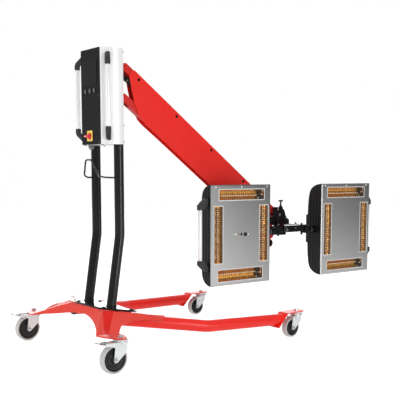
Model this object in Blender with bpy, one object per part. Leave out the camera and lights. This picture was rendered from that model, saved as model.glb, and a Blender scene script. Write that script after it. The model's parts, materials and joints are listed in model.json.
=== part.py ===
"""Mobile infrared paint curing lamp: a wheeled base with a bent twin mast, a control box, a parallel lift arm
and a swivelling head that carries two lamp cassettes.

Metres, +Z up, floor at Z = 0. +X runs forward, from the mast to the lamps; -Y is the right side of the lamp.
Shapes are written from the upper mast axis (X = 0) and hang from the empty "lamp", which moves them so that the
middle of the whole object stands over the origin. Head shapes are written in the head's own frame, whose origin
is on the cross bar's centre and whose X axis is the cross bar, and hang from the empty "head".
"""

import math

import bmesh
import bpy
from mathutils import Matrix, Vector

# ---- driving dimensions -------------------------------------------------------------------------------------
MIDDLE_X, MIDDLE_Y = 0.6985, 0.0  # middle of the bounding box, from the upper mast axis
GAP = 0.0003  # between pieces that touch

REAR_WHEEL_R, FRONT_WHEEL_R = 0.0625, 0.050
TYRE_WIDTH, HUB_SHARE = 0.032, 0.85
REAR_CASTER = (-0.197, 0.4010)  # swivel axis, X and |Y|
FRONT_CASTER = (0.8920, 0.3906)
REAR_TRAIL, FRONT_TRAIL = 0.037, 0.0406
REAR_FLANGE_Z = (0.1450, 0.1500)
FRONT_PLATE_Z = (0.1276, 0.1326)

LEG_R, LEG_WALL = 0.0287, 0.0025
LEG_PATH = ((-0.1050, 0.1545, 0.1812), (0.3256, 0.3465, 0.1178), (0.7983, 0.3907, 0.0982))
PLATE_Z = (0.2198, 0.2240)

MAST_R, MAST_WALL, MAST_Y = 0.0228, 0.0025, 0.1007
MAST_KINK_Z, MAST_FOOT_X = 0.550, -0.0516

BOX_Z = (0.9717, 1.4044)
MAST_TOP_Z = BOX_Z[0] - GAP
BOX_WALL = 0.003
PANEL_X, PANEL_Y = -0.0852, 0.0810
HANDLE_AT = (-0.0740, 0.1330)
HANDLE_R = 0.0110

PIVOT_UP = (0.0980, 1.3395)  # X, Z of the upper arm's column pivot
PIVOT_LOW = (0.0900, 1.1977)
ARM_SLOPE = math.radians(-35.54)
ARM_LENGTH = 1.2178
BAR_Y, BAR_WALL, BAR_HALF = 0.0145, 0.0030, 0.0185
COVER_Y = (0.0158, 0.0178)
LUG_Y = 0.0085
PIN_R, PIN_HOLE_R = 0.0050, 0.0053

HEAD_AT = (1.0823, -0.1592)
HEAD_TURN = -0.0728
HEAD_Z = 0.5238  # tilt axis of the cassettes
ROLL_Z = 0.5355  # roll axis of the cross bar
SPINDLE_Y = 0.1596  # swivel axis in the head's frame
SPINDLE_R = 0.0170
KNUCKLE_X = 0.0866
SIDE_X, SIDE_OUT = 0.1893, 0.5813  # inner and outer side wall of a cassette
FACE_Y = -0.0520
FACE_Z = (0.2660, 0.7816)
SHELL_WALL = 0.003

# ---- scene -----------------------------------------------------------------------------------------------------
for old in list(bpy.data.objects):
    bpy.data.objects.remove(old, do_unlink=True)
scene = bpy.context.scene


def material(name, colour, roughness, metallic=0.0):
    mat = bpy.data.materials.new(name)
    mat.use_nodes = True
    shader = mat.node_tree.nodes["Principled BSDF"]
    shader.inputs["Base Color"].default_value = (*colour, 1.0)
    shader.inputs["Roughness"].default_value = roughness
    shader.inputs["Metallic"].default_value = metallic
    mat.diffuse_color = (*colour, 1.0)
    return mat


RED = material("red_enamel", (0.78, 0.03, 0.025), 0.28)
BLACK = material("black_enamel", (0.015, 0.015, 0.016), 0.35)
ALU = material("anodised_aluminium", (0.78, 0.79, 0.80), 0.32, 1.0)
FACE = material("brushed_face", (0.50, 0.51, 0.52), 0.35, 1.0)
ZINC = material("zinc_plate", (0.72, 0.73, 0.74), 0.3, 1.0)
TYRE = material("grey_tyre", (0.50, 0.50, 0.49), 0.7)
HUB = material("hub_plastic", (0.035, 0.035, 0.036), 0.5)
CHARCOAL = material("charcoal_plastic", (0.045, 0.047, 0.050), 0.5)
SHELL = material("shell_plastic", (0.020, 0.020, 0.021), 0.45)
WINDOW = material("display_window", (0.005, 0.005, 0.006), 0.08)
GREY = material("grey_plastic", (0.25, 0.26, 0.27), 0.5)
YELLOW = material("yellow_plate", (0.95, 0.66, 0.05), 0.4)
KNOB = material("red_plastic", (0.75, 0.02, 0.03), 0.35)
GOLD = material("gold_reflector", (0.80, 0.45, 0.12), 0.3, 1.0)
STEEL = material("bright_steel", (0.60, 0.61, 0.62), 0.25, 1.0)


def empty(name, location, parent=None, turn=0.0):
    frame = bpy.data.objects.new(name, None)
    frame.empty_display_size = 0.05
    frame.location = location
    frame.rotation_euler = (0.0, 0.0, turn)
    frame.parent = parent
    scene.collection.objects.link(frame)
    return frame


LAMP = empty("lamp", (-MIDDLE_X, -MIDDLE_Y, 0.0))
HEAD = empty("head", (*HEAD_AT, 0.0), LAMP, HEAD_TURN)


# ---- shape helpers: each gives a closed bmesh -------------------------------------------------------------------
def face_out(bm):
    """All faces the same way round, and outwards."""
    bmesh.ops.recalc_face_normals(bm, faces=bm.faces)
    if bm.calc_volume(signed=True) < 0:
        bmesh.ops.reverse_faces(bm, faces=bm.faces)


def prism(outline, low, high, axis="Z"):
    """Extrudes a 2D outline. Axis Z: (x, y); axis Y: (x, z); axis X: (y, z)."""

    def place(point, level):
        a, b = point
        return {"X": (level, a, b), "Y": (a, level, b), "Z": (a, b, level)}[axis]

    bm = bmesh.new()
    bottom = [bm.verts.new(place(p, low)) for p in outline]
    top = [bm.verts.new(place(p, high)) for p in outline]
    bm.faces.new(bottom)
    bm.faces.new(top)
    for i in range(len(outline)):
        j = (i + 1) % len(outline)
        bm.faces.new((bottom[i], bottom[j], top[j], top[i]))
    face_out(bm)
    return bm


def block(x0, x1, y0, y1, z0, z1):
    return prism(((x0, y0), (x1, y0), (x1, y1), (x0, y1)), z0, z1)


def frame_of(direction):
    """A rotation whose Z column is the direction."""
    d = Vector(direction).normalized()
    helper = Vector((0, 0, 1)) if abs(d.z) < 0.9 else Vector((1, 0, 0))
    x = helper.cross(d).normalized()
    y = d.cross(x)
    return Matrix((x, y, d)).transposed().to_4x4()


def turned(profile, centre, axis, steps=24, closed=False):
    """Spins (radius, height) points about an axis. An open profile starts and ends on the axis."""
    bm = bmesh.new()
    rows = []
    for r, t in profile:
        if r < 1e-9:
            rows.append([bm.verts.new((0, 0, t))])
        else:
            rows.append(
                [
                    bm.verts.new((r * math.cos(a), r * math.sin(a), t))
                    for a in (2 * math.pi * i / steps for i in range(steps))
                ]
            )
    pairs = list(zip(rows, rows[1:]))
    if closed:
        pairs.append((rows[-1], rows[0]))
    for low, high in pairs:
        for i in range(steps):
            j = (i + 1) % steps
            ring = [low[i % len(low)], low[j % len(low)], high[j % len(high)], high[i % len(high)]]
            ring = list(dict.fromkeys(ring))
            if len(ring) > 2:
                bm.faces.new(ring)
    face_out(bm)
    bm.transform(Matrix.Translation(Vector(centre)) @ frame_of(axis))
    return bm


def rod(start, end, radius, steps=20, end_radius=None):
    start, end = Vector(start), Vector(end)
    length = (end - start).length
    top = radius if end_radius is None else end_radius
    return turned(((0, 0), (radius, 0), (top, length), (0, length)), start, end - start, steps)


def bent(points, radius, steps=4):
    """The corner points of a path replaced with arcs of about this radius."""
    points = [Vector(p) for p in points]
    path = [points[0]]
    for before, corner, after in zip(points, points[1:], points[2:]):
        a, b = (before - corner).normalized(), (after - corner).normalized()
        half = a.angle(b) / 2
        reach = min(radius / math.tan(half), 0.45 * (before - corner).length, 0.45 * (after - corner).length)
        for i in range(steps + 1):
            t = i / steps
            path.append((1 - t) ** 2 * (corner + a * reach) + 2 * t * (1 - t) * corner + t**2 * (corner + b * reach))
    path.append(points[-1])
    return path


def tube(points, radius, wall=0.0, steps=20, start_normal=None, end_normal=None):
    """A round bar or, with a wall, an open pipe along a path, mitred at its corners."""
    points = [Vector(p) for p in points]
    runs = [(b - a).normalized() for a, b in zip(points, points[1:])]
    side = frame_of(runs[0]).to_3x3()
    normals = [Vector(start_normal) if start_normal else runs[0]]
    normals += [(a + b).normalized() for a, b in zip(runs, runs[1:])]
    normals += [Vector(end_normal) if end_normal else runs[-1]]
    bm = bmesh.new()
    radii = [radius, radius - wall] if wall else [radius]
    rings = []
    current = side
    for i, (point, normal) in enumerate(zip(points, normals)):
        if i > 1:
            current = runs[i - 2].rotation_difference(runs[i - 1]).to_matrix() @ current
        run = runs[max(i - 1, 0)]
        row = []
        for r in radii:
            ring = []
            for k in range(steps):
                angle = 2 * math.pi * (k + 0.5) / steps
                offset = current @ Vector((r * math.cos(angle), r * math.sin(angle), 0))
                offset -= run * (offset.dot(normal) / run.dot(normal))
                ring.append(bm.verts.new(point + offset))
            row.append(ring)
        rings.append(row)
    for a, b in zip(rings, rings[1:]):
        for ring_a, ring_b in zip(a, b):
            for k in range(steps):
                m = (k + 1) % steps
                bm.faces.new((ring_a[k], ring_a[m], ring_b[m], ring_b[k]))
    for row in (rings[0], rings[-1]):
        if wall:
            for k in range(steps):
                m = (k + 1) % steps
                bm.faces.new((row[0][k], row[0][m], row[1][m], row[1][k]))
        else:
            bm.faces.new(row[0])
    face_out(bm)
    return bm


def sheet(columns, thickness):
    """A folded plate: columns of points on its outer face, thickened inwards into one closed body."""
    bm = bmesh.new()
    grid = [[bm.verts.new(p) for p in column] for column in columns]
    for a, b in zip(grid, grid[1:]):
        for i in range(len(a) - 1):
            bm.faces.new((a[i], b[i], b[i + 1], a[i + 1]))
    mesh = bpy.data.meshes.new("sheet")
    bm.to_mesh(mesh)
    bm.free()
    holder = bpy.data.objects.new("sheet", mesh)
    scene.collection.objects.link(holder)
    thick = holder.modifiers.new("thickness", "SOLIDIFY")
    thick.thickness = thickness
    thick.offset = -1.0
    thick.use_even_offset = True
    return evaluated(holder)


def evaluated(holder):
    """The object's mesh with its modifiers, as a bmesh; the object is removed."""
    bpy.context.view_layer.update()
    graph = bpy.context.evaluated_depsgraph_get()
    mesh = bpy.data.meshes.new_from_object(holder.evaluated_get(graph))
    bm = bmesh.new()
    bm.from_mesh(mesh)
    bpy.data.objects.remove(holder, do_unlink=True)
    bpy.data.meshes.remove(mesh)
    return bm


def fused(base, add=(), cut=(), keep=()):
    """One body: the base with the others joined on, then cut away, then kept only inside."""

    def helper(bm):
        mesh = bpy.data.meshes.new("helper")
        face_out(bm)
        bm.to_mesh(mesh)
        bm.free()
        item = bpy.data.objects.new("helper", mesh)
        scene.collection.objects.link(item)
        return item

    target = helper(base)
    others = []
    for operation, group in (("UNION", add), ("DIFFERENCE", cut), ("INTERSECT", keep)):
        for bm in group:
            other = helper(bm)
            others.append(other)
            step = target.modifiers.new(operation.lower(), "BOOLEAN")
            step.operation = operation
            step.solver = "EXACT"
            step.object = other
    result = evaluated(target)
    for other in others:
        bpy.data.objects.remove(other, do_unlink=True)
    bmesh.ops.dissolve_limit(result, angle_limit=math.radians(0.3), verts=result.verts, edges=result.edges)
    bmesh.ops.triangulate(result, faces=[f for f in result.faces if len(f.verts) > 4])
    return result


def mirrored(bm, side):
    """Shapes are written at +Y; side -1 gives the right-hand copy."""
    if side < 0:
        bm.transform(Matrix.Scale(-1, 4, (0, 1, 0)))
        bmesh.ops.reverse_faces(bm, faces=bm.faces)
    return bm


def piece(name, bm, mat, origin=(0, 0, 0), parent=LAMP, sharp=35):
    """A named object whose origin is the given point of its parent's frame."""
    face_out(bm)
    bm.transform(Matrix.Translation(-Vector(origin)))
    mesh = bpy.data.meshes.new(name)
    bm.to_mesh(mesh)
    bm.free()
    mesh.shade_smooth()
    mesh.set_sharp_from_angle(angle=math.radians(sharp))
    mesh.materials.append(mat)
    item = bpy.data.objects.new(name, mesh)
    item.location = origin
    item.parent = parent
    scene.collection.objects.link(item)
    return item


def arc(cx, cz, r, start, end, steps):
    """Points of an arc, in degrees."""
    return [
        (cx + r * math.cos(math.radians(a)), cz + r * math.sin(math.radians(a)))
        for a in (start + (end - start) * i / steps for i in range(steps + 1))
    ]


def rounded(x0, x1, y0, y1, r, steps=3):
    """A rectangle's outline with round corners."""
    return (
        arc(x1 - r, y1 - r, r, 0, 90, steps)
        + arc(x0 + r, y1 - r, r, 90, 180, steps)
        + arc(x0 + r, y0 + r, r, 180, 270, steps)
        + arc(x1 - r, y0 + r, r, 270, 360, steps)
    )


# ---- casters ---------------------------------------------------------------------------------------------------
def caster(prefix, x, y, radius, trail, under, leg, nose):
    """A swivel caster: fork with its raceway and axle bolt, hub, tyre and, with a nose, a brake pedal.
    The leg outline is (x, z) from the wheel's centre line, z from the floor."""
    wheel = Vector((x - trail, y, radius))
    top = 2 * radius + 0.0035
    outline = [(wheel.x + a, z) for a, z in leg]
    plates = [prism(outline, y + s * 0.0195, y + s * 0.0225, "Y") for s in (1, -1)]
    crown = block(wheel.x - (0.030 if nose else 0.003), wheel.x + 0.052, y - 0.0224, y + 0.0224, top, top + 0.003)
    neck = turned(
        ((0, top + 0.001), (0.027, top + 0.001), (0.030, top + 0.006), (0.028, top + 0.010), (0.034, under - 0.0042),
         (0.034, under - GAP), (0, under - GAP)),
        (x, y, 0), (0, 0, 1), 24,
    )
    axle = rod((wheel.x, y - 0.0265, radius), (wheel.x, y + 0.0265, radius), 0.0050, 16)
    heads = [rod((wheel.x, y + s * 0.0220, radius), (wheel.x, y + s * 0.0275, radius), 0.0085, 6) for s in (1, -1)]
    piece(f"{prefix}_fork", fused(crown, add=[*plates, neck, axle, *heads]), ZINC, (x, y, under))

    rim = HUB_SHARE * radius
    half = TYRE_WIDTH / 2
    hub = [
        (0.0054, -0.0175), (0.0150, -0.0175), (0.0190, -0.0070), (rim * 0.84, -0.0070), (rim * 0.92, -half + 0.002),
        (rim - GAP, -half + 0.002), (rim - GAP, half - 0.002), (rim * 0.92, half - 0.002), (rim * 0.84, 0.0070),
        (0.0190, 0.0070), (0.0150, 0.0175), (0.0054, 0.0175),
    ]
    piece(f"{prefix}_hub", turned(hub, wheel, (0, 1, 0), 20, closed=True), HUB, wheel)
    tread = [
        (rim, -half + 0.001), (radius * 0.955, -half), (radius, -half * 0.62), (radius, half * 0.62),
        (radius * 0.955, half), (rim, half - 0.001),
    ]
    piece(f"{prefix}_tyre", turned(tread, wheel, (0, 1, 0), 32, closed=True), TYRE, wheel)

    if nose:
        hinge = Vector((wheel.x - 0.045, y, 0.1325))
        line = [(-0.0340, 0.1400), (-0.0450, 0.1370), (-0.0560, 0.1335), (-0.0640, 0.1345), (-0.0770, 0.1405),
                (-0.0870, 0.1425)]
        lower = [(wheel.x + a, z - 0.0013) for a, z in line]
        upper = [(wheel.x + a, z + 0.0013) for a, z in reversed(line)]
        lever = prism(lower + upper, y - 0.0135, y + 0.0135, "Y")
        barrel = rod((hinge.x, y - 0.0185, hinge.z), (hinge.x, y + 0.0185, hinge.z), 0.0055, 14)
        piece(f"{prefix}_brake_pedal", fused(lever, add=[barrel]), ZINC, hinge)


REAR_LEG = [
    (0.060, 0.1312), (0.030, 0.1345), (-0.0485, 0.1365), (-0.0540, 0.1325), (-0.0500, 0.1240), (-0.0120, 0.1190),
    (-0.0040, 0.1120), (-0.0110, 0.0600), (-0.0090, 0.0525), (-0.0020, 0.0485), (0.0060, 0.0500), (0.0520, 0.0888),
]
FRONT_LEG = [
    (-0.0040, 0.1068), (-0.0125, 0.0480), (-0.0100, 0.0415), (-0.0020, 0.0375), (0.0070, 0.0395), (0.0530, 0.0780),
    (0.0560, 0.1068),
]
for side, hand in ((1, "left"), (-1, "right")):
    caster(f"rear_{hand}", REAR_CASTER[0], side * REAR_CASTER[1], REAR_WHEEL_R, REAR_TRAIL, REAR_FLANGE_Z[0],
           REAR_LEG, True)
    caster(f"front_{hand}", FRONT_CASTER[0], side * FRONT_CASTER[1], FRONT_WHEEL_R, FRONT_TRAIL, FRONT_PLATE_Z[0],
           FRONT_LEG, False)


# ---- base ------------------------------------------------------------------------------------------------------
def leg_centre(x):
    """Centre line of the left leg's rear run at this X."""
    a, b = LEG_PATH[0], LEG_PATH[1]
    t = (x - a[0]) / (b[0] - a[0])
    return a[1] + t * (b[1] - a[1]), a[2] + t * (b[2] - a[2])


def around_leg(x, degrees, radius):
    """A point on a circle about the leg's centre line, 90 on top and 0 on its outer side."""
    y, z = leg_centre(x)
    a = math.radians(degrees)
    return (x, y + radius * math.cos(a) * 1.09, z + radius * math.sin(a))


def between(a, b, count=4):
    return [tuple(a[k] + (b[k] - a[k]) * i / (count - 1) for k in range(3)) for i in range(count)]


for side, hand in ((1, "left"), (-1, "right")):
    path = bent(LEG_PATH, 0.12, 3)
    leg = tube(path, LEG_R, LEG_WALL, 20)
    slope = [(0.7985, 0.1304), (0.7345, 0.0642), (0.95, 0.0), (0.95, 0.2)]
    mitre = prism(slope, 0.30, 0.50, "Y")
    bracket = prism(
        [(0.930, 0.1276), (0.930, 0.1326), (0.7975, 0.1326), (0.7330, 0.0660), (0.7366, 0.0625), (0.7995, 0.1276)],
        FRONT_CASTER[1] - 0.032, FRONT_CASTER[1] + 0.032, "Y",
    )
    yc = FRONT_CASTER[1]
    plan = [(0.72, yc - 0.040), (0.905, yc - 0.040), (0.940, yc - 0.010), (0.940, yc + 0.010), (0.905, yc + 0.040),
            (0.72, yc + 0.040)]
    bracket = fused(bracket, keep=[prism(plan, 0.0, 0.3)])
    leg = fused(leg, cut=[mitre])
    leg = fused(leg, add=[bracket])
    piece(f"leg_tube_{hand}", mirrored(leg, side), RED)

    a, b = Vector(LEG_PATH[0]), Vector(LEG_PATH[1])
    run = (a - b).normalized()
    cap = turned(
        ((0, -0.018), (LEG_R - LEG_WALL - 0.0005, -0.018), (LEG_R - LEG_WALL - 0.0005, GAP), (LEG_R, GAP),
         (LEG_R, 0.0025), (LEG_R * 0.93, 0.0045), (0, 0.0052)),
        a, run, 24,
    )
    piece(f"leg_end_cap_{hand}", mirrored(cap, side), BLACK)

# The folded rear cross-member, left half, as columns of four points from its top edge to its lower edge.
TOP = PLATE_Z[0] - GAP - 0.0002
columns = [
    between((-0.1305, 0.0, TOP), (-0.1446, 0.0, 0.1870)),
    between((-0.1285, 0.050, TOP), (-0.1480, 0.0332, 0.1861)),
    between((-0.1265, 0.090, TOP), (-0.1550, 0.0719, 0.1821)),
    between((-0.1265, 0.112, TOP), (-0.1680, 0.1200, 0.1764)),
    between((-0.1267, 0.124, TOP), (-0.1850, 0.1680, 0.1679)),
    between((-0.1268, 0.131, TOP), (-0.2080, 0.2160, 0.1609)),
    between((-0.1269, 0.136, TOP), (-0.2350, 0.2646, 0.1550)),
    between((-0.1270, 0.140, TOP), (-0.2590, 0.3040, 0.1500)),
    between((-0.1262, 0.144, TOP), (-0.2260, 0.3180, 0.1500)),
    between((-0.1035, 0.200, TOP), (-0.2080, 0.3240, 0.1500)),
    between((-0.0980, 0.208, TOP), (-0.1700, 0.3450, 0.1500)),
    between((-0.0880, 0.222, TOP), (-0.1600, 0.3315, 0.1647)),
    between((-0.0760, 0.240, TOP), (-0.1400, 0.3169, 0.1794)),
    between((-0.0620, 0.260, TOP), (-0.1150, 0.3107, 0.1840)),
    between((-0.0450, 0.285, TOP), (-0.0750, 0.2983, 0.1856)),
    between((-0.0100, 0.2840, 0.2120), (-0.0450, 0.2950, 0.1860)),
    between((0.0350, 0.2760, 0.2005), (0.0050, 0.2900, 0.1800)),
]
R2 = LEG_R + 0.0066
columns.append([around_leg(0.085 - 0.008 * i, 84 - 22 * i, R2) for i in range(4)])
columns.append([around_leg(0.138 - 0.010 * i, 88 - 22 * i, R2) for i in range(4)])


def both_halves(half):
    right = [[(x, -y, z) for x, y, z in column] for column in reversed(half[1:])]
    return right + half


skirt = sheet(both_halves(columns), 0.004)
deck_edge = [(column[0][0] + 0.0022, column[0][1] - 0.0012) for column in columns[:14]] + [(-0.0500, 0.2680), (-0.0400, 0.2400)]
deck = prism(deck_edge + [(x, -y) for x, y in reversed(deck_edge[1:])], TOP - 0.0036, TOP - 0.0004)
foot_outline = [(-0.2590, 0.3040), (-0.2540, 0.3420), (-0.2400, 0.3800), (-0.2270, 0.4090), (-0.2130, 0.4285),
                (-0.1960, 0.4330), (-0.1800, 0.4230), (-0.1690, 0.4020), (-0.1620, 0.3700), (-0.1620, 0.3400),
                (-0.1720, 0.3060), (-0.2100, 0.2900)]
feet = [mirrored(prism(foot_outline, REAR_FLANGE_Z[0] + 0.0002, REAR_FLANGE_Z[1] + 0.0004), s) for s in (1, -1)]
piece("rear_cross_member", fused(skirt, add=[deck, *feet]), RED, sharp=18)

plate_half = [(-0.1250, 0.105), (-0.0380, 0.284), (-0.0330, 0.284), (-0.0200, 0.258), (-0.0235, 0.190),
              (-0.0130, 0.120), (-0.0090, 0.060)]
plate = prism(plate_half + [(x, -y) for x, y in reversed(plate_half)], *PLATE_Z)
piece("base_plate", plate, BLACK)

# ---- mast ------------------------------------------------------------------------------------------------------
for side, hand in ((1, "left"), (-1, "right")):
    y = side * MAST_Y
    path = bent(((MAST_FOOT_X, y, PLATE_Z[1] + GAP), (0.0, y, MAST_KINK_Z), (0.0, y, MAST_TOP_Z)), 0.25, 3)
    piece(f"mast_tube_{hand}", tube(path, MAST_R, MAST_WALL, 18, start_normal=(0, 0, 1)), BLACK)

hook = bent(
    ((-MAST_R - 0.0003, -MAST_Y, 0.8200), (-0.0400, -MAST_Y, 0.8202), (-0.0540, -0.070, 0.8215), (-0.0570, -0.012, 0.8270),
     (-0.0650, 0.0370, 0.9030), (-0.0660, 0.0840, 0.9030), (-0.0660, 0.0995, 0.8300), (-0.0480, MAST_Y, 0.8206),
     (-MAST_R - 0.0005, MAST_Y, 0.8200)),
    0.013, 2,
)
piece("cable_hook", tube(hook, 0.0042, 0.0, 8), BLACK)

# ---- control box -----------------------------------------------------------------------------------------------
OUTLINE = [(-0.0822, 0.0814), (-0.0815, 0.0835), (-0.0790, 0.0880), (-0.0670, 0.0970), (-0.0500, 0.1080),
           (-0.0310, 0.1165), (-0.0120, 0.1210), (0.0060, 0.1200), (0.0225, 0.1090), (0.0380, 0.0885), (0.0480, 0.0700),
           (0.0545, 0.0520), (0.0575, 0.0380)]


def inset(points, by):
    """The open line moved sideways by a distance, to its right."""
    out = []
    for i, p in enumerate(points):
        a = Vector(points[max(i - 1, 0)])
        b = Vector(points[min(i + 1, len(points) - 1)])
        d = (b - a).normalized()
        out.append((p[0] + d.y * by, p[1] - d.x * by))
    return out


def both_sides(half):
    return half + [(x, -y) for x, y in reversed(half)]


inner = both_sides(inset(OUTLINE, BOX_WALL))
walls = prism(both_sides(OUTLINE) + inner[::-1], *BOX_Z)
floor_outline = both_sides(inset(OUTLINE, 0.001))
ends = [prism(floor_outline, BOX_Z[0] + 0.0003, BOX_Z[0] + 0.0033), prism(floor_outline, BOX_Z[1] - 0.0033, BOX_Z[1] - 0.0003)]
piece("control_housing", fused(walls, add=ends), ALU)

BUTTON_Y, BUTTON_Z = (0.038, 0.0, -0.037), 1.216
KNOB_AT = (0.008, 1.010)


def oval(y, z, a, b, steps=16):
    return [(y + a * math.cos(2 * math.pi * i / steps), z + b * math.sin(2 * math.pi * i / steps)) for i in range(steps)]


panel = prism(rounded(-PANEL_Y, PANEL_Y, BOX_Z[0] + 0.0003, BOX_Z[1] - 0.0003, 0.004, 2), PANEL_X, PANEL_X + 0.003, "X")
panel = fused(
    panel,
    cut=[prism(oval(y, BUTTON_Z, 0.0075, 0.0118), -0.10, -0.07, "X") for y in BUTTON_Y]
    + [rod((-0.10, *KNOB_AT), (-0.07, *KNOB_AT), 0.0046, 16)],
)
piece("rear_panel", panel, BLACK)
piece("display_window", prism(rounded(-0.059, 0.070, 1.242, 1.354, 0.004, 2), PANEL_X - 0.0019, PANEL_X - GAP, "X"), WINDOW)
for i, y in enumerate(BUTTON_Y):
    cap = turned(((0, -0.0042), (0.62, -0.0042), (0.95, -0.0030), (1.0, -0.0018), (1.0, 0.0050), (0, 0.0050)), (0, 0, 0),
                 (1, 0, 0), 16)
    bmesh.ops.scale(cap, vec=(1.0, 0.0072, 0.0115), verts=cap.verts)
    bmesh.ops.translate(cap, vec=(PANEL_X, y, BUTTON_Z), verts=cap.verts)
    piece(f"push_button_{i + 1}", cap, GREY, (PANEL_X, y, BUTTON_Z))
switch_plate = fused(
    prism(rounded(-0.015, 0.031, 0.988, 1.036, 0.003, 2), PANEL_X - 0.0023, PANEL_X - GAP, "X"),
    cut=[rod((-0.10, *KNOB_AT), (-0.07, *KNOB_AT), 0.0046, 16)],
)
piece("switch_plate", switch_plate, YELLOW)
grip = prism(
    [(KNOB_AT[0] - 0.010, KNOB_AT[1] - 0.0050), (KNOB_AT[0] + 0.022, KNOB_AT[1] - 0.0035),
     (KNOB_AT[0] + 0.024, KNOB_AT[1]), (KNOB_AT[0] + 0.022, KNOB_AT[1] + 0.0035), (KNOB_AT[0] - 0.010, KNOB_AT[1] + 0.0050)],
    PANEL_X - 0.0190, PANEL_X - 0.0060, "X",
)
dial = turned(((0, -0.0090), (0.0115, -0.0090), (0.0135, -0.0075), (0.0135, -0.0027), (0.0042, -0.0027), (0.0042, 0.0080),
               (0, 0.0080)), (PANEL_X, *KNOB_AT), (1, 0, 0), 24)
piece("main_switch_knob", fused(dial, add=[grip]), KNOB, (PANEL_X, *KNOB_AT))
gland = turned(((0, 0.9500), (0.0066, 0.9500), (0.0105, 0.9515), (0.0125, 0.9560), (0.0125, 0.9610), (0.0150, 0.9612),
                (0.0150, BOX_Z[0] - GAP), (0, BOX_Z[0] - GAP)), (-0.056, 0.047, 0), (0, 0, 1), 12)
piece("cable_gland", gland, GREY)
unit = fused(block(-0.062, 0.020, -0.068, 0.068, 1.015, 1.330),
             cut=[block(-0.062 + 0.012 * i, -0.056 + 0.012 * i, -0.08, 0.08, 1.250, 1.340) for i in range(1, 7)])
piece("power_unit", unit, ALU)

# Box handles: a tube on two short brackets that lean in to the box's shoulders.
HANDLE_Z = (1.048, 1.325)
BRACKET = [(-0.0130, 1.325), (-0.0130, 1.348), (0.0040, 1.372), (0.0220, 1.382), (0.0450, 1.380), (0.0450, 1.350),
           (0.0210, 1.345), (0.0150, 1.336), (0.0150, 1.325)]
clear_of_box = both_sides(inset(OUTLINE, -GAP))
for side, hand in ((1, "left"), (-1, "right")):
    hx, hy = HANDLE_AT
    lean = Matrix.Translation((hx, hy, 0)) @ Matrix.Rotation(math.atan2(-0.77, 0.64), 4, "Z")
    for label in ("upper", "lower"):
        flip = label == "lower"
        outline = [(a, sum(HANDLE_Z) - z if flip else z) for a, z in BRACKET]
        body = prism(outline, -0.0130, 0.0130, "Y")
        plan = prism(arc(0, 0, 0.0130, 90, 270, 10) + [(0.06, -0.0130), (0.06, 0.0130)], 0.9, 1.5)
        for bm in (body, plan):
            bm.transform(lean)
        z0, z1 = (HANDLE_Z[0] - 0.0200, HANDLE_Z[0] + 0.01) if flip else (HANDLE_Z[1] - 0.01, HANDLE_Z[1] + 0.0200)
        socket = rod((hx, hy, z0), (hx, hy, z1), HANDLE_R + GAP + 0.0002, 20)
        body = fused(fused(body, keep=[plan]), cut=[socket, prism(clear_of_box, 0.9, 1.5)])
        piece(f"handle_bracket_{label}_{hand}", mirrored(body, side), CHARCOAL)
    grip_tube = rod((hx, side * hy, HANDLE_Z[0] - 0.0195), (hx, side * hy, HANDLE_Z[1] + 0.0195), HANDLE_R, 20)
    piece(f"handle_tube_{hand}", grip_tube, ALU)

# ---- column bracket and lift arm -------------------------------------------------------------------------------
UX = Vector((math.cos(ARM_SLOPE), math.sin(ARM_SLOPE)))
UZ = Vector((-UX.y, UX.x))
END_UP = Vector(PIVOT_UP) + UX * ARM_LENGTH
END_LOW = Vector(PIVOT_LOW) + UX * ARM_LENGTH


def along(pivot, s, t):
    """A point s along the arm and t above its centre line, as (x, z)."""
    p = Vector(pivot) + UX * s + UZ * t
    return (p.x, p.y)


SPRING_FOOT = (0.0880, 1.3000)
SPRING_EYE_S, SPRING_EYE_T = 0.420, -0.038
ux, uz = PIVOT_UP
lx, lz = PIVOT_LOW
web = (
    [(0.0660, uz + 0.022)]
    + arc(ux, uz, 0.0150, 75, -75, 6)
    + [(0.0925, 1.3150)]
    + arc(SPRING_FOOT[0], SPRING_FOOT[1], 0.0090, 40, -40, 3)
    + [(0.0900, 1.270), (0.0880, 1.225)]
    + arc(lx, lz, 0.0150, 75, -75, 6)
    + [(0.0660, lz - 0.022)]
)
column_plate = prism(rounded(-0.034, 0.034, 1.145, 1.388, 0.006, 2), 0.0612, 0.0672, "X")
pins = [rod((px, -0.0148, pz), (px, 0.0148, pz), PIN_R, 16) for px, pz in (PIVOT_UP, PIVOT_LOW)]
spring_pin = rod((SPRING_FOOT[0], -0.0110, SPRING_FOOT[1]), (SPRING_FOOT[0], 0.0110, SPRING_FOOT[1]), 0.0040, 14)
web_body = fused(
    prism(web, -LUG_Y, LUG_Y, "Y"),
    cut=[block(SPRING_FOOT[0] - 0.016, SPRING_FOOT[0] + 0.03, *span, SPRING_FOOT[1] - 0.030, SPRING_FOOT[1] + 0.024)
         for span in ((0.0036, 0.02), (-0.02, -0.0036))],
)
piece("column_bracket", fused(column_plate, add=[web_body, *pins, spring_pin]), BLACK)


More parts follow.
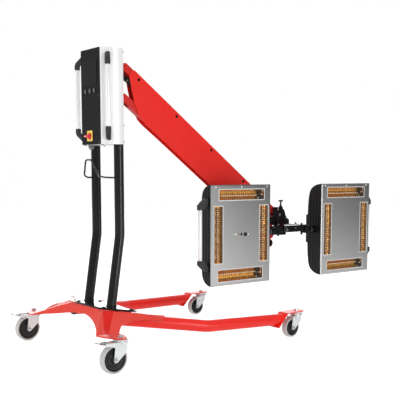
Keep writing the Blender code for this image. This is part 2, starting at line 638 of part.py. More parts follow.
def arm_bar(name, pivot, lug):
    """A box-section bar with open forked ends and a pin hole through both sides at each end."""
    reach = 0.0185
    outline = []
    for s, start, end in ((ARM_LENGTH, -90, 90), (0.0, 90, 270)):
        for k in range(7):
            a = math.radians(start + (end - start) * k / 6)
            outline.append(along(pivot, s + reach * math.cos(a), reach * math.sin(a)))
    bar = prism(outline, -BAR_Y, BAR_Y, "Y")
    wall_y = BAR_Y - BAR_WALL
    h = BAR_HALF - 0.0030
    core = prism([along(pivot, -0.05, -h), along(pivot, ARM_LENGTH + 0.05, -h), along(pivot, ARM_LENGTH + 0.05, h),
                  along(pivot, -0.05, h)], -wall_y, wall_y, "Y")
    slots = []
    for s0, s1 in ((-0.06, 0.046), (ARM_LENGTH - 0.046, ARM_LENGTH + 0.06)):
        slots.append(prism([along(pivot, s0, -0.04), along(pivot, s1, -0.04), along(pivot, s1, 0.04),
                            along(pivot, s0, 0.04)], -wall_y, wall_y, "Y"))
    holes = [rod((*along(pivot, s, 0)[:1], -0.03, along(pivot, s, 0)[1]), (along(pivot, s, 0)[0], 0.03, along(pivot, s, 0)[1]),
                 PIN_HOLE_R, 16) for s in (0.0, ARM_LENGTH)]
    adds = []
    if lug:
        shape = [along(pivot, SPRING_EYE_S - 0.022, -0.0170), along(pivot, SPRING_EYE_S - 0.012, -0.0520),
                 along(pivot, SPRING_EYE_S + 0.012, -0.0520), along(pivot, SPRING_EYE_S + 0.022, -0.0170)]
        adds = [prism(shape, s * 0.0118, s * 0.0144, "Y") for s in (1, -1)]
    body = fused(bar, cut=[core, *slots, *holes])
    if adds:
        body = fused(body, add=adds)
    piece(name, body, RED, (pivot[0], 0.0, pivot[1]))


arm_bar("upper_arm_bar", PIVOT_UP, True)
arm_bar("lower_arm_bar", PIVOT_LOW, False)

COVER = [
    (0.1372, 1.3280), (0.1185, 1.3080), (0.1180, 1.3020), (0.1326, 1.2297), (0.1484, 1.1706), (0.1681, 1.1268),
    (0.1864, 1.0973), (0.2121, 1.0742), (0.3116, 1.0040),
]
COVER_END = 0.9600
cover_low = (COVER_END - 0.030, 1.0040 - (COVER_END - 0.030 - 0.3116) * 0.7263)
cover_line = COVER + [
    cover_low,
    (COVER_END - 0.004, cover_low[1] - 0.008),
    (COVER_END + 0.006, cover_low[1] + 0.006),
    (COVER_END + 0.070, 0.7842 - (COVER_END + 0.070 - 0.9083) * 0.7215 - 0.024),
    (COVER_END + 0.066, 0.7842 - (COVER_END + 0.066 - 0.9083) * 0.7215 - 0.008),
    (COVER_END + 0.050, 0.7842 - (COVER_END + 0.050 - 0.9083) * 0.7215),
    (0.1515, 1.3269),
]
for side, hand in ((1, "left"), (-1, "right")):
    y0, y1 = sorted((side * COVER_Y[0], side * COVER_Y[1]))
    piece(f"arm_cover_{hand}", prism(cover_line, y0, y1, "Y"), RED, (PIVOT_UP[0], 0.0, PIVOT_UP[1]))

# Gas spring between the bars: cylinder on the column, rod towards the upper bar.
foot = Vector((SPRING_FOOT[0], 0.0, SPRING_FOOT[1]))
eye_xz = along(PIVOT_UP, SPRING_EYE_S, SPRING_EYE_T)
eye = Vector((eye_xz[0], 0.0, eye_xz[1]))
run = (eye - foot).normalized()
length = (eye - foot).length
up = Vector((-run.z, 0.0, run.x))
cylinder = turned(
    ((0, 0.026), (0.0085, 0.026), (0.0112, 0.030), (0.0112, 0.246), (0.0100, 0.250), (0.0046, 0.250), (0.0046, 0.040), (0, 0.040)),
    foot, run, 20,
)


def on_spring(s, t):
    p = foot + run * s + up * t
    return (p.x, p.z)


yoke = [prism([on_spring(-0.008, -0.0060), on_spring(-0.004, -0.0085), on_spring(0.029, -0.0085), on_spring(0.029, 0.0085),
               on_spring(-0.004, 0.0085), on_spring(-0.008, 0.0060)], s * 0.0042, s * 0.0090, "Y") for s in (1, -1)]
yoke_hole = rod((foot.x, -0.02, foot.z), (foot.x, 0.02, foot.z), 0.0043, 14)
piece("gas_spring_cylinder", fused(fused(cylinder, add=yoke), cut=[yoke_hole]), BLACK, foot)
spring_rod = turned(((0, 0.110), (0.0041, 0.110), (0.0041, length - 0.010), (0, length - 0.010)), foot, run, 14)
eye_body = prism([on_spring(length - 0.012, -0.0060), on_spring(length + 0.004, -0.0085), on_spring(length + 0.010, 0.0),
                  on_spring(length + 0.004, 0.0085), on_spring(length - 0.012, 0.0060)], -0.0050, 0.0050, "Y")
eye_pin = rod((eye.x, -0.0095, eye.z), (eye.x, 0.0095, eye.z), 0.0035, 12)
piece("gas_spring_rod", fused(spring_rod, add=[eye_body, eye_pin]), STEEL, foot)

# End link: a lug at each pivot, joined by the spindle that the head swivels on.
ex, ez_up, ex_low, ez_low = END_UP.x, END_UP.y, END_LOW.x, END_LOW.y
spindle_x = ex
COLLAR_Z = (ez_low + 0.0600, ez_up - 0.0370)
lug_up = prism([(ex - 0.0140, COLLAR_Z[1] + 0.0030)] + arc(ex, ez_up, 0.0180, 200, -20, 8) + [(ex + 0.0140, COLLAR_Z[1] + 0.0030)],
               -LUG_Y, LUG_Y, "Y")
lug_low = prism([(ex - 0.0140, COLLAR_Z[0] - 0.0030)] + arc(ex_low, ez_low, 0.0135, 170, 370, 8) + [(ex + 0.0060, COLLAR_Z[0] - 0.0030)],
                -LUG_Y, LUG_Y, "Y")
spindle = turned(
    ((0, COLLAR_Z[0] - 0.0050), (0.0195, COLLAR_Z[0] - 0.0050), (0.0195, COLLAR_Z[0] - GAP), (SPINDLE_R, COLLAR_Z[0] - GAP),
     (SPINDLE_R, COLLAR_Z[1] + GAP), (0.0195, COLLAR_Z[1] + GAP), (0.0195, COLLAR_Z[1] + 0.0042), (0, COLLAR_Z[1] + 0.0042)),
    (spindle_x, 0, 0), (0, 0, 1), 18)
tail = rod((ex - 0.0107, -LUG_Y, 0.4435), (ex - 0.0107, LUG_Y, 0.4435), 0.0215, 28)
neck = block(ex_low - 0.0140, ex_low + 0.0040, -LUG_Y, LUG_Y, 0.4450, ez_low)
link_pins = [rod((x, -0.0148, z), (x, 0.0148, z), PIN_R, 16) for x, z in ((ex, ez_up), (ex_low, ez_low))]
piece("end_link", fused(spindle, add=[lug_up, lug_low, tail, neck, *link_pins]), RED, (ex, 0.0, ez_up))

# ---- head ------------------------------------------------------------------------------------------------------
# The swivel axis in the head's own frame, exactly where the spindle stands.
offset = Matrix.Rotation(-HEAD_TURN, 4, "Z") @ Vector((spindle_x - HEAD_AT[0], 0.0 - HEAD_AT[1], 0.0))
SX, SY = offset.x, offset.y
profile = [
    (0.1240, 0.5150), (0.1240, 0.5990), (0.1290, 0.6020), (0.1290, 0.6460), (0.1250, 0.6500), (0.0760, 0.6500), (0.0740, 0.6420),
    (0.0660, 0.6400), (0.0645, 0.6330), (0.0590, 0.6310), (0.0575, 0.6200), (0.0545, 0.6180), (0.0535, 0.6070), (0.0470, 0.6050),
    (0.0455, 0.5945), (0.0392, 0.5925), (0.0225, 0.5850), (0.0220, 0.5175), (0.0540, 0.5130), (0.0580, 0.4960), (0.1000, 0.4960),
]
body = prism(profile, -0.0125, 0.0125, "X")
collar = turned(((0, COLLAR_Z[0]), (0.0290, COLLAR_Z[0]), (0.0290, COLLAR_Z[1]), (0, COLLAR_Z[1])), (SX, SY, 0), (0, 0, 1), 24)
collar_bore = rod((SX, SY, 0.40), (SX, SY, 0.75), SPINDLE_R + 0.0004, 24)
roll_bore = rod((0, -0.02, ROLL_Z), (0, 0.070, ROLL_Z), 0.0079, 20)
pin_bore = rod((0, 0.080, 0.618), (0, 0.080, 0.70), 0.0042, 14)
bridge = block(-0.018, 0.018, 0.110, SY, COLLAR_Z[0] + 0.004, COLLAR_Z[1] - 0.004)
boss = rod((0, 0.080, 0.6495), (0, 0.080, 0.6580), 0.0095, 18)
swivel = fused(fused(body, add=[bridge, collar, boss]), cut=[collar_bore, roll_bore, pin_bore])
piece("swivel_head", swivel, BLACK, (SX, SY, HEAD_Z), HEAD)

stem = turned(((0, 0.622), (0.0038, 0.622), (0.0038, 0.6585), (0.0060, 0.6590), (0.0045, 0.665), (0.0045, 0.684), (0, 0.684)),
              (0, 0.080, 0), (0, 0, 1), 14)
tee = rod((-0.013, 0.080, 0.6865), (0.013, 0.080, 0.6865), 0.0046, 14)
piece("lock_pin", fused(stem, add=[tee]), STEEL, (0, 0.080, 0.6580), HEAD)

bar = prism([(-0.055, 0.5165), (0.055, 0.5165), (0.060, 0.5215), (0.060, 0.5498), (0.054, 0.5600), (-0.054, 0.5600),
             (-0.060, 0.5498), (-0.060, 0.5215)], -0.0125, 0.0130, "Y")
tongues = [
    prism([(s * 0.050, -0.0115), (s * KNUCKLE_X, -0.0115)]
          + [(s * (KNUCKLE_X + 0.0115 * math.cos(math.radians(a))), 0.0115 * math.sin(math.radians(a))) for a in range(-60, 61, 30)]
          + [(s * KNUCKLE_X, 0.0115), (s * 0.050, 0.0115)], 0.5225, 0.5462)
    for s in (1, -1)
]
roll_axle = rod((0, 0.0120, ROLL_Z), (0, 0.0680, ROLL_Z), 0.0075, 20)
front_boss = turned(((0, 0.0), (0.0140, 0.0), (0.0140, 0.004), (0.0110, 0.006), (0.0080, 0.013), (0, 0.014)),
                    (-0.0450, -0.0120, 0.5310), (0, -1, 0), 24)
bottom_boss = turned(((0, 0.0), (0.0110, 0.0), (0.0110, 0.0110), (0.0090, 0.0140), (0, 0.0140)), (-0.0450, 0, 0.5170), (0, 0, -1), 24)
knuckle_holes = [rod((s * KNUCKLE_X, 0, 0.50), (s * KNUCKLE_X, 0, 0.57), 0.0044, 14) for s in (1, -1)]
bar = fused(fused(bar, add=[*tongues, roll_axle, front_boss, bottom_boss]), cut=knuckle_holes)
piece("cross_bar", bar, BLACK, (0, 0, ROLL_Z), HEAD)

for side, hand in ((1, "outer"), (-1, "inner")):

    def sx(a, b):
        return (side * a, side * b) if side > 0 else (side * b, side * a)

    def fork_plate(z0, z1):
        edge = [(side * 0.140, -0.0120)]
        edge += [(side * (KNUCKLE_X - 0.0115 * math.cos(math.radians(a))), -0.0115 * math.sin(math.radians(a)))
                 for a in range(90, -91, -30)]
        edge += [(side * 0.140, 0.0120)]
        return prism(edge, z0, z1)

    x0, x1 = sx(0.104, 0.150)
    cheek = block(x0, x1, -0.0120, 0.0120, 0.5063, 0.5532)
    spigot = turned(((0, 0.1482), (0.0175, 0.1482), (0.0175, 0.1560), (0.0085, 0.1560), (0.0085, 0.2000), (0, 0.2000)),
                    (0, 0, HEAD_Z), (side, 0, 0), 20)
    pin = turned(((0, 0.5015), (0.0050, 0.5015), (0.0062, 0.5030), (0.0062, 0.5152), (0.0040, 0.5154), (0.0040, 0.5530),
                  (0.0072, 0.5531), (0.0066, 0.5552), (0.0040, 0.5566), (0, 0.5570)), (side * KNUCKLE_X, 0, 0), (0, 0, 1), 14)
    knuckle = fused(fork_plate(0.5465, 0.5532), add=[fork_plate(0.5150, 0.5222), cheek, spigot, pin])
    piece(f"knuckle_{hand}", knuckle, BLACK, (side * KNUCKLE_X, 0, HEAD_Z), HEAD)

# ---- lamp cassettes --------------------------------------------------------------------------------------------
FRONT = FACE_Y + 0.0031  # front rim of the shell, behind the face plate
MID_Z = (FACE_Z[0] + FACE_Z[1]) / 2
HALF_Z = (FACE_Z[1] - FACE_Z[0]) / 2
WIDTH = SIDE_OUT - SIDE_X


def shell_outline(s, grow=0.0):
    """The back's (y, z) line at a distance s from the inner side wall: flat side, round shoulder, crowned back."""
    t = min(max(s / WIDTH, 0.0), 1.0)
    deep = 0.0660 - 0.0240 * t
    pts = []
    for y, z in ((0.0, 1.0), (0.30, 0.985), (0.62, 0.935), (0.84, 0.840), (0.94, 0.66), (0.985, 0.40), (1.0, 0.0)):
        pts.append((FRONT + (deep - FRONT) * y, z * HALF_Z))
    return pts


def shell_mesh(side):
    """An open tray with a crowned back: columns across the width, thickened inwards."""
    edge = 0.010
    stations = [(0.0, 0.30, 0.0), (0.0, 0.93, 0.0), (edge * 0.35, 0.985, 0.0), (edge, 1.0, 0.0), (WIDTH * 0.33, 1.0, 0.0),
                (WIDTH * 0.66, 1.0, 0.0), (WIDTH - edge, 1.0, 0.0), (WIDTH - edge * 0.3, 0.97, 0.0), (WIDTH, 0.90, 0.0),
                (WIDTH, 0.30, 0.0)]
    columns = []
    rim = None
    for index, (s, share, _) in enumerate(stations):
        line = shell_outline(s)
        upper = [(FRONT + (y - FRONT) * share, z) for y, z in line]
        full = upper + [(y, -z) for y, z in reversed(upper[:-1])]
        columns.append([(side * (SIDE_X + s), y, MID_Z + z) for y, z in full])
    front_first = [(x, FRONT, z) for x, _, z in columns[0]]
    front_last = [(x, FRONT, z) for x, _, z in columns[-1]]
    columns = [front_first] + columns + [front_last]
    return columns


def cassette_shell(side):
    columns = shell_mesh(side)
    bm = bmesh.new()
    grid = [[bm.verts.new(p) for p in column] for column in columns]
    for a, b in zip(grid, grid[1:]):
        for i in range(len(a) - 1):
            quad = (a[i], b[i], b[i + 1], a[i + 1])
            bm.faces.new(quad if side > 0 else tuple(reversed(quad)))
    bmesh.ops.remove_doubles(bm, verts=bm.verts, dist=1e-6)
    bmesh.ops.dissolve_degenerate(bm, edges=bm.edges, dist=1e-6)
    return bm


def thick(bm, thickness):
    mesh = bpy.data.meshes.new("tray")
    bm.to_mesh(mesh)
    bm.free()
    holder = bpy.data.objects.new("tray", mesh)
    scene.collection.objects.link(holder)
    grow = holder.modifiers.new("thickness", "SOLIDIFY")
    grow.thickness = thickness
    grow.offset = -1.0
    grow.use_even_offset = True
    return evaluated(holder)


SLOTS = [  # frame coordinates on the face of the inner cassette: low x, high x, low z, high z
    (-0.5290, -0.2350, 0.7050, 0.7565),
    (-0.5600, -0.5075, 0.3825, 0.6720),
    (-0.2625, -0.2080, 0.3790, 0.6720),
    (-0.5365, -0.2435, 0.2880, 0.3460),
]
SLOTS_OUTER = [
    (0.2350, 0.5320, 0.7050, 0.7590),
    (0.2105, 0.2665, 0.3798, 0.6668),
    (0.5055, 0.5610, 0.3798, 0.6684),
    (0.2385, 0.5275, 0.2895, 0.3405),
]

for side, hand in ((-1, "inner"), (1, "outer")):
    slots = SLOTS if side < 0 else SLOTS_OUTER
    xa, xb = sorted((side * SIDE_X, side * SIDE_OUT))
    tray = thick(cassette_shell(side), SHELL_WALL)
    ring_boss = rod((side * 0.1565, 0, HEAD_Z), (side * (SIDE_X + 0.0015), 0, HEAD_Z), 0.0190, 24)
    hump = prism([(0.0500, HEAD_Z - 0.090), (0.0764, HEAD_Z - 0.078), (0.0764, HEAD_Z + 0.078), (0.0500, HEAD_Z + 0.090)],
                 *sorted((side * (SIDE_X + 0.002), side * (SIDE_X + 0.125))), "X")
    tilt_hole = rod((side * 0.150, 0, HEAD_Z), (side * 0.205, 0, HEAD_Z), 0.0088, 20)
    tray = fused(fused(tray, add=[ring_boss, hump]), cut=[tilt_hole])
    piece(f"cassette_shell_{hand}", tray, SHELL, (side * SIDE_X, 0, HEAD_Z), HEAD)

    face = fused(
        prism(rounded(xa, xb, FACE_Z[0], FACE_Z[1], 0.006, 2), FACE_Y, FACE_Y + 0.0019, "Y"),
        cut=[prism(rounded(x0, x1, z0, z1, 0.003, 1), FACE_Y - 0.01, FACE_Y + 0.01, "Y") for x0, x1, z0, z1 in slots],
    )
    piece(f"cassette_face_{hand}", face, FACE, (side * SIDE_X, FACE_Y, HEAD_Z), HEAD)

    carrier = block(xa + 0.0045, xb - 0.0045, -0.0310, -0.0290, FACE_Z[0] + 0.0075, FACE_Z[1] - 0.0075)
    lamps = []
    for x0, x1, z0, z1 in slots:
        if x1 - x0 > z1 - z0:
            trough = prism([(-0.0300, z0 - 0.004), (-0.0490, z0 - 0.004), (-0.0490, z0 - 0.0025), (-0.0315, z0 + 0.004),
                            (-0.0315, z1 - 0.004), (-0.0490, z1 + 0.0025), (-0.0490, z1 + 0.004), (-0.0300, z1 + 0.004)],
                           x0 - 0.003, x1 + 0.003, "X")
            zc = (z0 + z1) / 2
            quartz = rod((x0 + 0.002, -0.0400, zc), (x1 - 0.002, -0.0400, zc), 0.0055, 12)
            posts = [block(x - 0.004, x + 0.004, -0.0400, -0.0305, zc - 0.004, zc + 0.004) for x in (x0 + 0.012, x1 - 0.012)]
        else:
            trough = prism([(x0 - 0.004, -0.0300), (x0 - 0.004, -0.0490), (x0 - 0.0025, -0.0490), (x0 + 0.004, -0.0315),
                            (x1 - 0.004, -0.0315), (x1 + 0.0025, -0.0490), (x1 + 0.004, -0.0490), (x1 + 0.004, -0.0300)],
                           z0 - 0.003, z1 + 0.003, "Z")
            xc = (x0 + x1) / 2
            quartz = rod((xc, -0.0400, z0 + 0.002), (xc, -0.0400, z1 - 0.002), 0.0055, 12)
            posts = [block(xc - 0.004, xc + 0.004, -0.0400, -0.0305, z - 0.004, z + 0.004) for z in (z0 + 0.012, z1 - 0.012)]
        lamps += [trough, quartz, *posts]
    piece(f"lamp_tray_{hand}", fused(carrier, add=lamps), GOLD, (side * SIDE_X, FACE_Y, HEAD_Z), HEAD)

    grip_x, grip_y = side * 0.6250, -0.0190
    wall_x = side * (SIDE_OUT + GAP)
    grip = rod((grip_x, grip_y, 0.3850), (grip_x, grip_y, 0.6700), 0.0110, 18)
    arms = []
    for z_end, z_tip in ((0.6560, 0.7150), (0.3990, 0.3420)):
        outline = [(wall_x, -0.0330), (wall_x, 0.0050), (side * 0.6080, -0.0060), (side * 0.6360, -0.0080),
                   (side * 0.6390, -0.0190), (side * 0.6360, -0.0310), (side * 0.6080, -0.0330)]
        z0, z1 = sorted((z_end, z_tip))
        arm = prism(outline, z0, z1)
        sign = 1 if z_tip > z_end else -1
        slope_cut = prism([(side * 0.598, z_tip + sign * 0.002), (side * 0.660, z_tip + sign * 0.002),
                           (side * 0.660, z_tip - sign * 0.038)], -0.08, 0.03, "Y")
        arms.append(fused(arm, cut=[slope_cut]))
    piece(f"cassette_handle_{hand}", fused(grip, add=arms), CHARCOAL, (side * SIDE_OUT, grip_y, HEAD_Z), HEAD)
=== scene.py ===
"""Looks of the mobile infrared paint curing lamp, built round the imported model.

Metres, +Z up, in the model's own frame: +X forward, -Y the lamp's right side. Shapes are written from the upper mast
axis (LAMP moves them into place), and those of the head in the head's frame (HEAD), whose X axis is the cross bar.
"""

import json
import math

import bmesh
import bpy
from mathutils import Matrix, Vector


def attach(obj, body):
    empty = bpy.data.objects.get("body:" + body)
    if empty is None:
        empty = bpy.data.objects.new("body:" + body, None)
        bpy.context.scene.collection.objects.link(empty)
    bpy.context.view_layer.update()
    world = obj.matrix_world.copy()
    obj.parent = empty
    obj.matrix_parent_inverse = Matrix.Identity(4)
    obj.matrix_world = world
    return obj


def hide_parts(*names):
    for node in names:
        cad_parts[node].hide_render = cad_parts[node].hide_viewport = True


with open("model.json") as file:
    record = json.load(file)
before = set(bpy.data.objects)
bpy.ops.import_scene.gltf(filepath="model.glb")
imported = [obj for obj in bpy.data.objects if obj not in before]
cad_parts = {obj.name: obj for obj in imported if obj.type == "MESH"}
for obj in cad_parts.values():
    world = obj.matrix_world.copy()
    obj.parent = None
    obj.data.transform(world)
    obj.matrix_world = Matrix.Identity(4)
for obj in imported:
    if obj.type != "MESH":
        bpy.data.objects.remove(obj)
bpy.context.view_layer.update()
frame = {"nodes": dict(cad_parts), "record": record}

scene = bpy.context.scene
LAMP = Matrix.Translation((-0.6985, 0.0, 0.0))
HEAD = Matrix.Translation((1.0823 - 0.6985, -0.1592, 0.0)) @ Matrix.Rotation(-0.0728, 4, "Z")

# ---- camera -----------------------------------------------------------------------------------------------------
eye = bpy.data.cameras.new("camera")
camera = bpy.data.objects.new("camera", eye)
scene.collection.objects.link(camera)
scene.camera = camera
camera.location = (-2.5396, -2.9343, 0.8399)
camera.rotation_euler = (math.pi / 2 - 0.1097, 0.0, -0.6912)
eye.sensor_width = 36.0
eye.lens = 65.03
eye.shift_x = -0.00737
eye.shift_y = 0.1322
eye.clip_end = 200.0


# ---- materials --------------------------------------------------------------------------------------------------
def nodes_of(mat):
    tree = mat.node_tree
    return tree, tree.nodes, tree.links


def finish_of(name, colour, rough, metal=0.0, coat=0.0, coat_rough=0.06, vary=0.06, vary_scale=9.0, rough_vary=0.05,
              rough_scale=35.0, grain=0.0, grain_scale=900.0, brush=None, wear_and_highlight=None, dust=None, specular=0.5, second=None,
              second_scale=4.0, second_share=0.5):
    """A painted, plated or moulded surface: colour and roughness that drift, a fine grain or brushed lines, worn edges."""
    mat = bpy.data.materials.new(name)
    mat.use_nodes = True
    tree, nodes, links = nodes_of(mat)
    shader = nodes["Principled BSDF"]
    shader.inputs["Metallic"].default_value = metal
    shader.inputs["Specular IOR Level"].default_value = specular
    shader.inputs["Coat Weight"].default_value = coat
    shader.inputs["Coat Roughness"].default_value = coat_rough
    mat.diffuse_color = (*colour, 1.0)
    coords = nodes.new("ShaderNodeTexCoord")

    def noise(scale, detail=3.0, stretch=None, rough_part=0.55):
        tex = nodes.new("ShaderNodeTexNoise")
        tex.inputs["Scale"].default_value = scale
        tex.inputs["Detail"].default_value = detail
        tex.inputs["Roughness"].default_value = rough_part
        if stretch:
            mapping = nodes.new("ShaderNodeMapping")
            mapping.inputs["Scale"].default_value = stretch
            links.new(coords.outputs["Object"], mapping.inputs["Vector"])
            links.new(mapping.outputs["Vector"], tex.inputs["Vector"])
        else:
            links.new(coords.outputs["Object"], tex.inputs["Vector"])
        return tex.outputs["Fac"]

    def ranged(value, low, high, a=0.3, b=0.7):
        node = nodes.new("ShaderNodeMapRange")
        node.inputs["From Min"].default_value = a
        node.inputs["From Max"].default_value = b
        node.inputs["To Min"].default_value = low
        node.inputs["To Max"].default_value = high
        links.new(value, node.inputs["Value"])
        return node.outputs["Result"]

    def mixed(factor, first, other):
        node = nodes.new("ShaderNodeMix")
        node.data_type = "RGBA"
        links.new(factor, node.inputs["Factor"])
        for socket, value in ((node.inputs[6], first), (node.inputs[7], other)):
            if isinstance(value, tuple):
                socket.default_value = (*value, 1.0)
            else:
                links.new(value, socket)
        return node.outputs[2]

    darker = tuple(c * (1 - vary) for c in colour)
    lighter = tuple(min(1.0, c * (1 + vary)) for c in colour)
    tint = mixed(ranged(noise(vary_scale), 0.0, 1.0), darker, lighter)
    if second:
        tint = mixed(ranged(noise(second_scale, 5.0), 0.0, second_share, 0.45, 0.75), tint, second)
    if dust:
        geometry = nodes.new("ShaderNodeNewGeometry")
        split = nodes.new("ShaderNodeSeparateXYZ")
        links.new(geometry.outputs["Normal"], split.inputs["Vector"])
        up = ranged(split.outputs["Z"], 0.0, dust[1], 0.55, 1.0)
        tint = mixed(up, tint, dust[0])
    if wear_and_highlight:
        geometry = nodes.new("ShaderNodeNewGeometry")
        edge = ranged(geometry.outputs["Pointiness"], 0.0, 1.0, 0.53, 0.60)
        spots = ranged(noise(160.0, 4.0), 0.0, 1.0, 0.50, 0.62)
        both = nodes.new("ShaderNodeMath")
        both.operation = "MULTIPLY"
        links.new(edge, both.inputs[0])
        links.new(spots, both.inputs[1])
        less = nodes.new("ShaderNodeMath")
        less.operation = "MULTIPLY"
        less.inputs[1].default_value = wear_and_highlight[1]
        links.new(both.outputs[0], less.inputs[0])
        tint = mixed(less.outputs[0], tint, wear_and_highlight[0])
    links.new(tint, shader.inputs["Base Color"])
    links.new(ranged(noise(rough_scale, 4.0), max(0.02, rough - rough_vary), rough + rough_vary), shader.inputs["Roughness"])
    height = None
    if brush:
        height = noise(1.0, 3.0, brush[0], 0.7)
        strength, distance = brush[1], 0.0002
    elif grain:
        height = noise(grain_scale, 2.0)
        strength, distance = grain, 0.0003
    if height is not None:
        bump = nodes.new("ShaderNodeBump")
        bump.inputs["Strength"].default_value = strength
        bump.inputs["Distance"].default_value = distance
        links.new(height, bump.inputs["Height"])
        links.new(bump.outputs["Normal"], shader.inputs["Normal"])
    return mat


RED = finish_of("red_enamel", (0.80, 0.018, 0.011), 0.32, coat=0.10, coat_rough=0.10, vary=0.025, grain=0.07, grain_scale=420.0, specular=0.30,
                rough_vary=0.03)
RED_FOLD = finish_of("red_enamel_skirt", (0.72, 0.058, 0.040), 0.36, vary=0.03, grain=0.05, grain_scale=420.0, specular=0.2)
RED_GLOSS = finish_of("red_enamel_deck", (0.72, 0.030, 0.020), 0.34, coat=1.0, coat_rough=0.06, vary=0.03, specular=0.5)
RED_LUG = finish_of("red_enamel_lugs", (0.72, 0.045, 0.034), 0.34, coat=0.45, coat_rough=0.10, vary=0.03, specular=0.4)
# Painted shade: a darker copy of the red enamel for the chamfer faces of the rear cross member.
RED_PAINTED_SHADE = finish_of("red_enamel_painted_shade", (0.66, 0.012, 0.008), 0.36, vary=0.03, grain=0.07, grain_scale=420.0, specular=0.15)
RED_DEEP = finish_of("red_enamel_bars", (0.60, 0.016, 0.012), 0.34, coat=0.10, vary=0.06, vary_scale=60.0, grain=0.12, specular=0.3,
                     grain_scale=300.0)
BLACK = finish_of("black_enamel", (0.0075, 0.0075, 0.008), 0.30, coat=0.12, coat_rough=0.12, vary=0.12, grain=0.10, specular=0.22,
                  grain_scale=600.0, dust=((0.016, 0.016, 0.016), 0.25))
BLACK_DEEP = finish_of("black_castings", (0.0035, 0.0035, 0.004), 0.34, vary=0.2, grain=0.25, grain_scale=350.0, specular=0.11,
                       wear_and_highlight=((0.06, 0.06, 0.06), 0.5))
PANEL = finish_of("panel_black", (0.0105, 0.0105, 0.011), 0.44, vary=0.08, grain=0.25, grain_scale=1100.0, specular=0.12)
WINDOW = finish_of("display_window", (0.0045, 0.0045, 0.005), 0.18, vary=0.08, rough_vary=0.03, coat=0.05, specular=0.2)
ALU = finish_of("housing_aluminium", (0.86, 0.862, 0.857), 0.40, metal=0.14, vary=0.012, rough_vary=0.03, brush=((900.0, 900.0, 5.0), 0.02))
ALU_TUBE = finish_of("handle_aluminium", (0.93, 0.93, 0.932), 0.24, metal=0.30, vary=0.012, rough_vary=0.02)
FACE = finish_of("face_sheet", (0.37, 0.372, 0.366), 0.34, metal=0.90, vary=0.02, vary_scale=5.0, rough_vary=0.02)
# Painted light: the face sheets' colour is scaled from a lighter lower corner to a darker upper one, standing in for
# the light they reflect.
tree, nodes, links = nodes_of(FACE)
base_socket = nodes["Principled BSDF"].inputs["Base Color"]
tint_socket = base_socket.links[0].from_socket
place = nodes.new("ShaderNodeTexCoord")
parts_of = nodes.new("ShaderNodeSeparateXYZ")
links.new(place.outputs["Generated"], parts_of.inputs["Vector"])
painted_light_gradient = None
for axis, gain in (("X", -0.34), ("Z", -0.60)):
    step = nodes.new("ShaderNodeMath")
    step.operation = "MULTIPLY_ADD"
    links.new(parts_of.outputs[axis], step.inputs[0])
    step.inputs[1].default_value = gain
    if painted_light_gradient is None:
        step.inputs[2].default_value = 1.52
    else:
        links.new(painted_light_gradient, step.inputs[2])
    painted_light_gradient = step.outputs[0]
scaled = nodes.new("ShaderNodeVectorMath")
scaled.operation = "SCALE"
links.new(tint_socket, scaled.inputs[0])
links.new(painted_light_gradient, scaled.inputs["Scale"])
links.new(scaled.outputs["Vector"], base_socket)
LIP = finish_of("slot_frames", (0.66, 0.665, 0.665), 0.36, metal=0.35, vary=0.03, grain=0.06)
# Painted shade: a darker copy of the gold for the reflectors of the upright slots.
GOLD_UPRIGHT_SHADED = finish_of("gold_reflector_upright_painted_shade", (0.54, 0.248, 0.066), 0.30, metal=0.80, vary=0.18, vary_scale=120.0, grain=0.35,
                         grain_scale=180.0, rough_vary=0.08)
GOLD = finish_of("gold_reflector", (0.86, 0.41, 0.082), 0.28, metal=0.80, vary=0.18, vary_scale=120.0, grain=0.35,
                 grain_scale=180.0, rough_vary=0.08)
GRILLE = finish_of("grille_wire", (0.13, 0.095, 0.065), 0.36, metal=0.5, vary=0.25, vary_scale=40.0)
# Painted reflection: the quartz tubes are tinted warm, standing in for the gold reflected in them.
QUARTZ = finish_of("quartz_tube", (0.86, 0.62, 0.40), 0.14, vary=0.18, vary_scale=90.0, coat=0.3)
CERAMIC = finish_of("ceramic_white", (0.82, 0.80, 0.76), 0.5, vary=0.04, grain=0.2)
CONNECTOR = finish_of("connector_black", (0.010, 0.010, 0.010), 0.45, vary=0.2, grain=0.2, specular=0.25)
SHELL = finish_of("shell_black", (0.0085, 0.0087, 0.009), 0.38, vary=0.10, grain=0.18, grain_scale=700.0, specular=0.20,
                  wear_and_highlight=((0.04, 0.04, 0.04), 0.4))
CHARCOAL = finish_of("charcoal_plastic", (0.030, 0.031, 0.033), 0.46, vary=0.10, grain=0.25, grain_scale=800.0, specular=0.3)
ZINC = finish_of("zinc_plate", (0.73, 0.75, 0.745), 0.30, metal=0.70, vary=0.05, vary_scale=25.0, grain=0.08,
                 grain_scale=500.0, rough_vary=0.05)
STEEL = finish_of("bright_steel", (0.66, 0.66, 0.67), 0.24, metal=0.95, vary=0.05, vary_scale=30.0)
DARK_STEEL = finish_of("dark_steel", (0.16, 0.16, 0.165), 0.35, metal=0.8, vary=0.10, vary_scale=40.0)
TYRE = finish_of("grey_tyre", (0.52, 0.52, 0.505), 0.62, vary=0.05, grain=0.30, grain_scale=700.0,
                 second=(0.40, 0.395, 0.38), second_share=0.35, second_scale=22.0)
HUB = finish_of("hub_plastic", (0.018, 0.018, 0.019), 0.38, vary=0.12, grain=0.15, grain_scale=700.0, specular=0.30)
PLATE = finish_of("black_plate", (0.006, 0.006, 0.0065), 0.16, coat=1.0, coat_rough=0.05, vary=0.1, specular=0.5)
ZINC_DARK = finish_of("zinc_pedal", (0.21, 0.215, 0.215), 0.30, metal=0.85, vary=0.08, vary_scale=25.0, rough_vary=0.05)
BLACK_TUBE = finish_of("black_tube", (0.006, 0.006, 0.0065), 0.17, coat=0.2, coat_rough=0.08, vary=0.10, specular=0.25)
GREY = finish_of("grey_plastic", (0.16, 0.165, 0.17), 0.40, vary=0.06, grain=0.2)
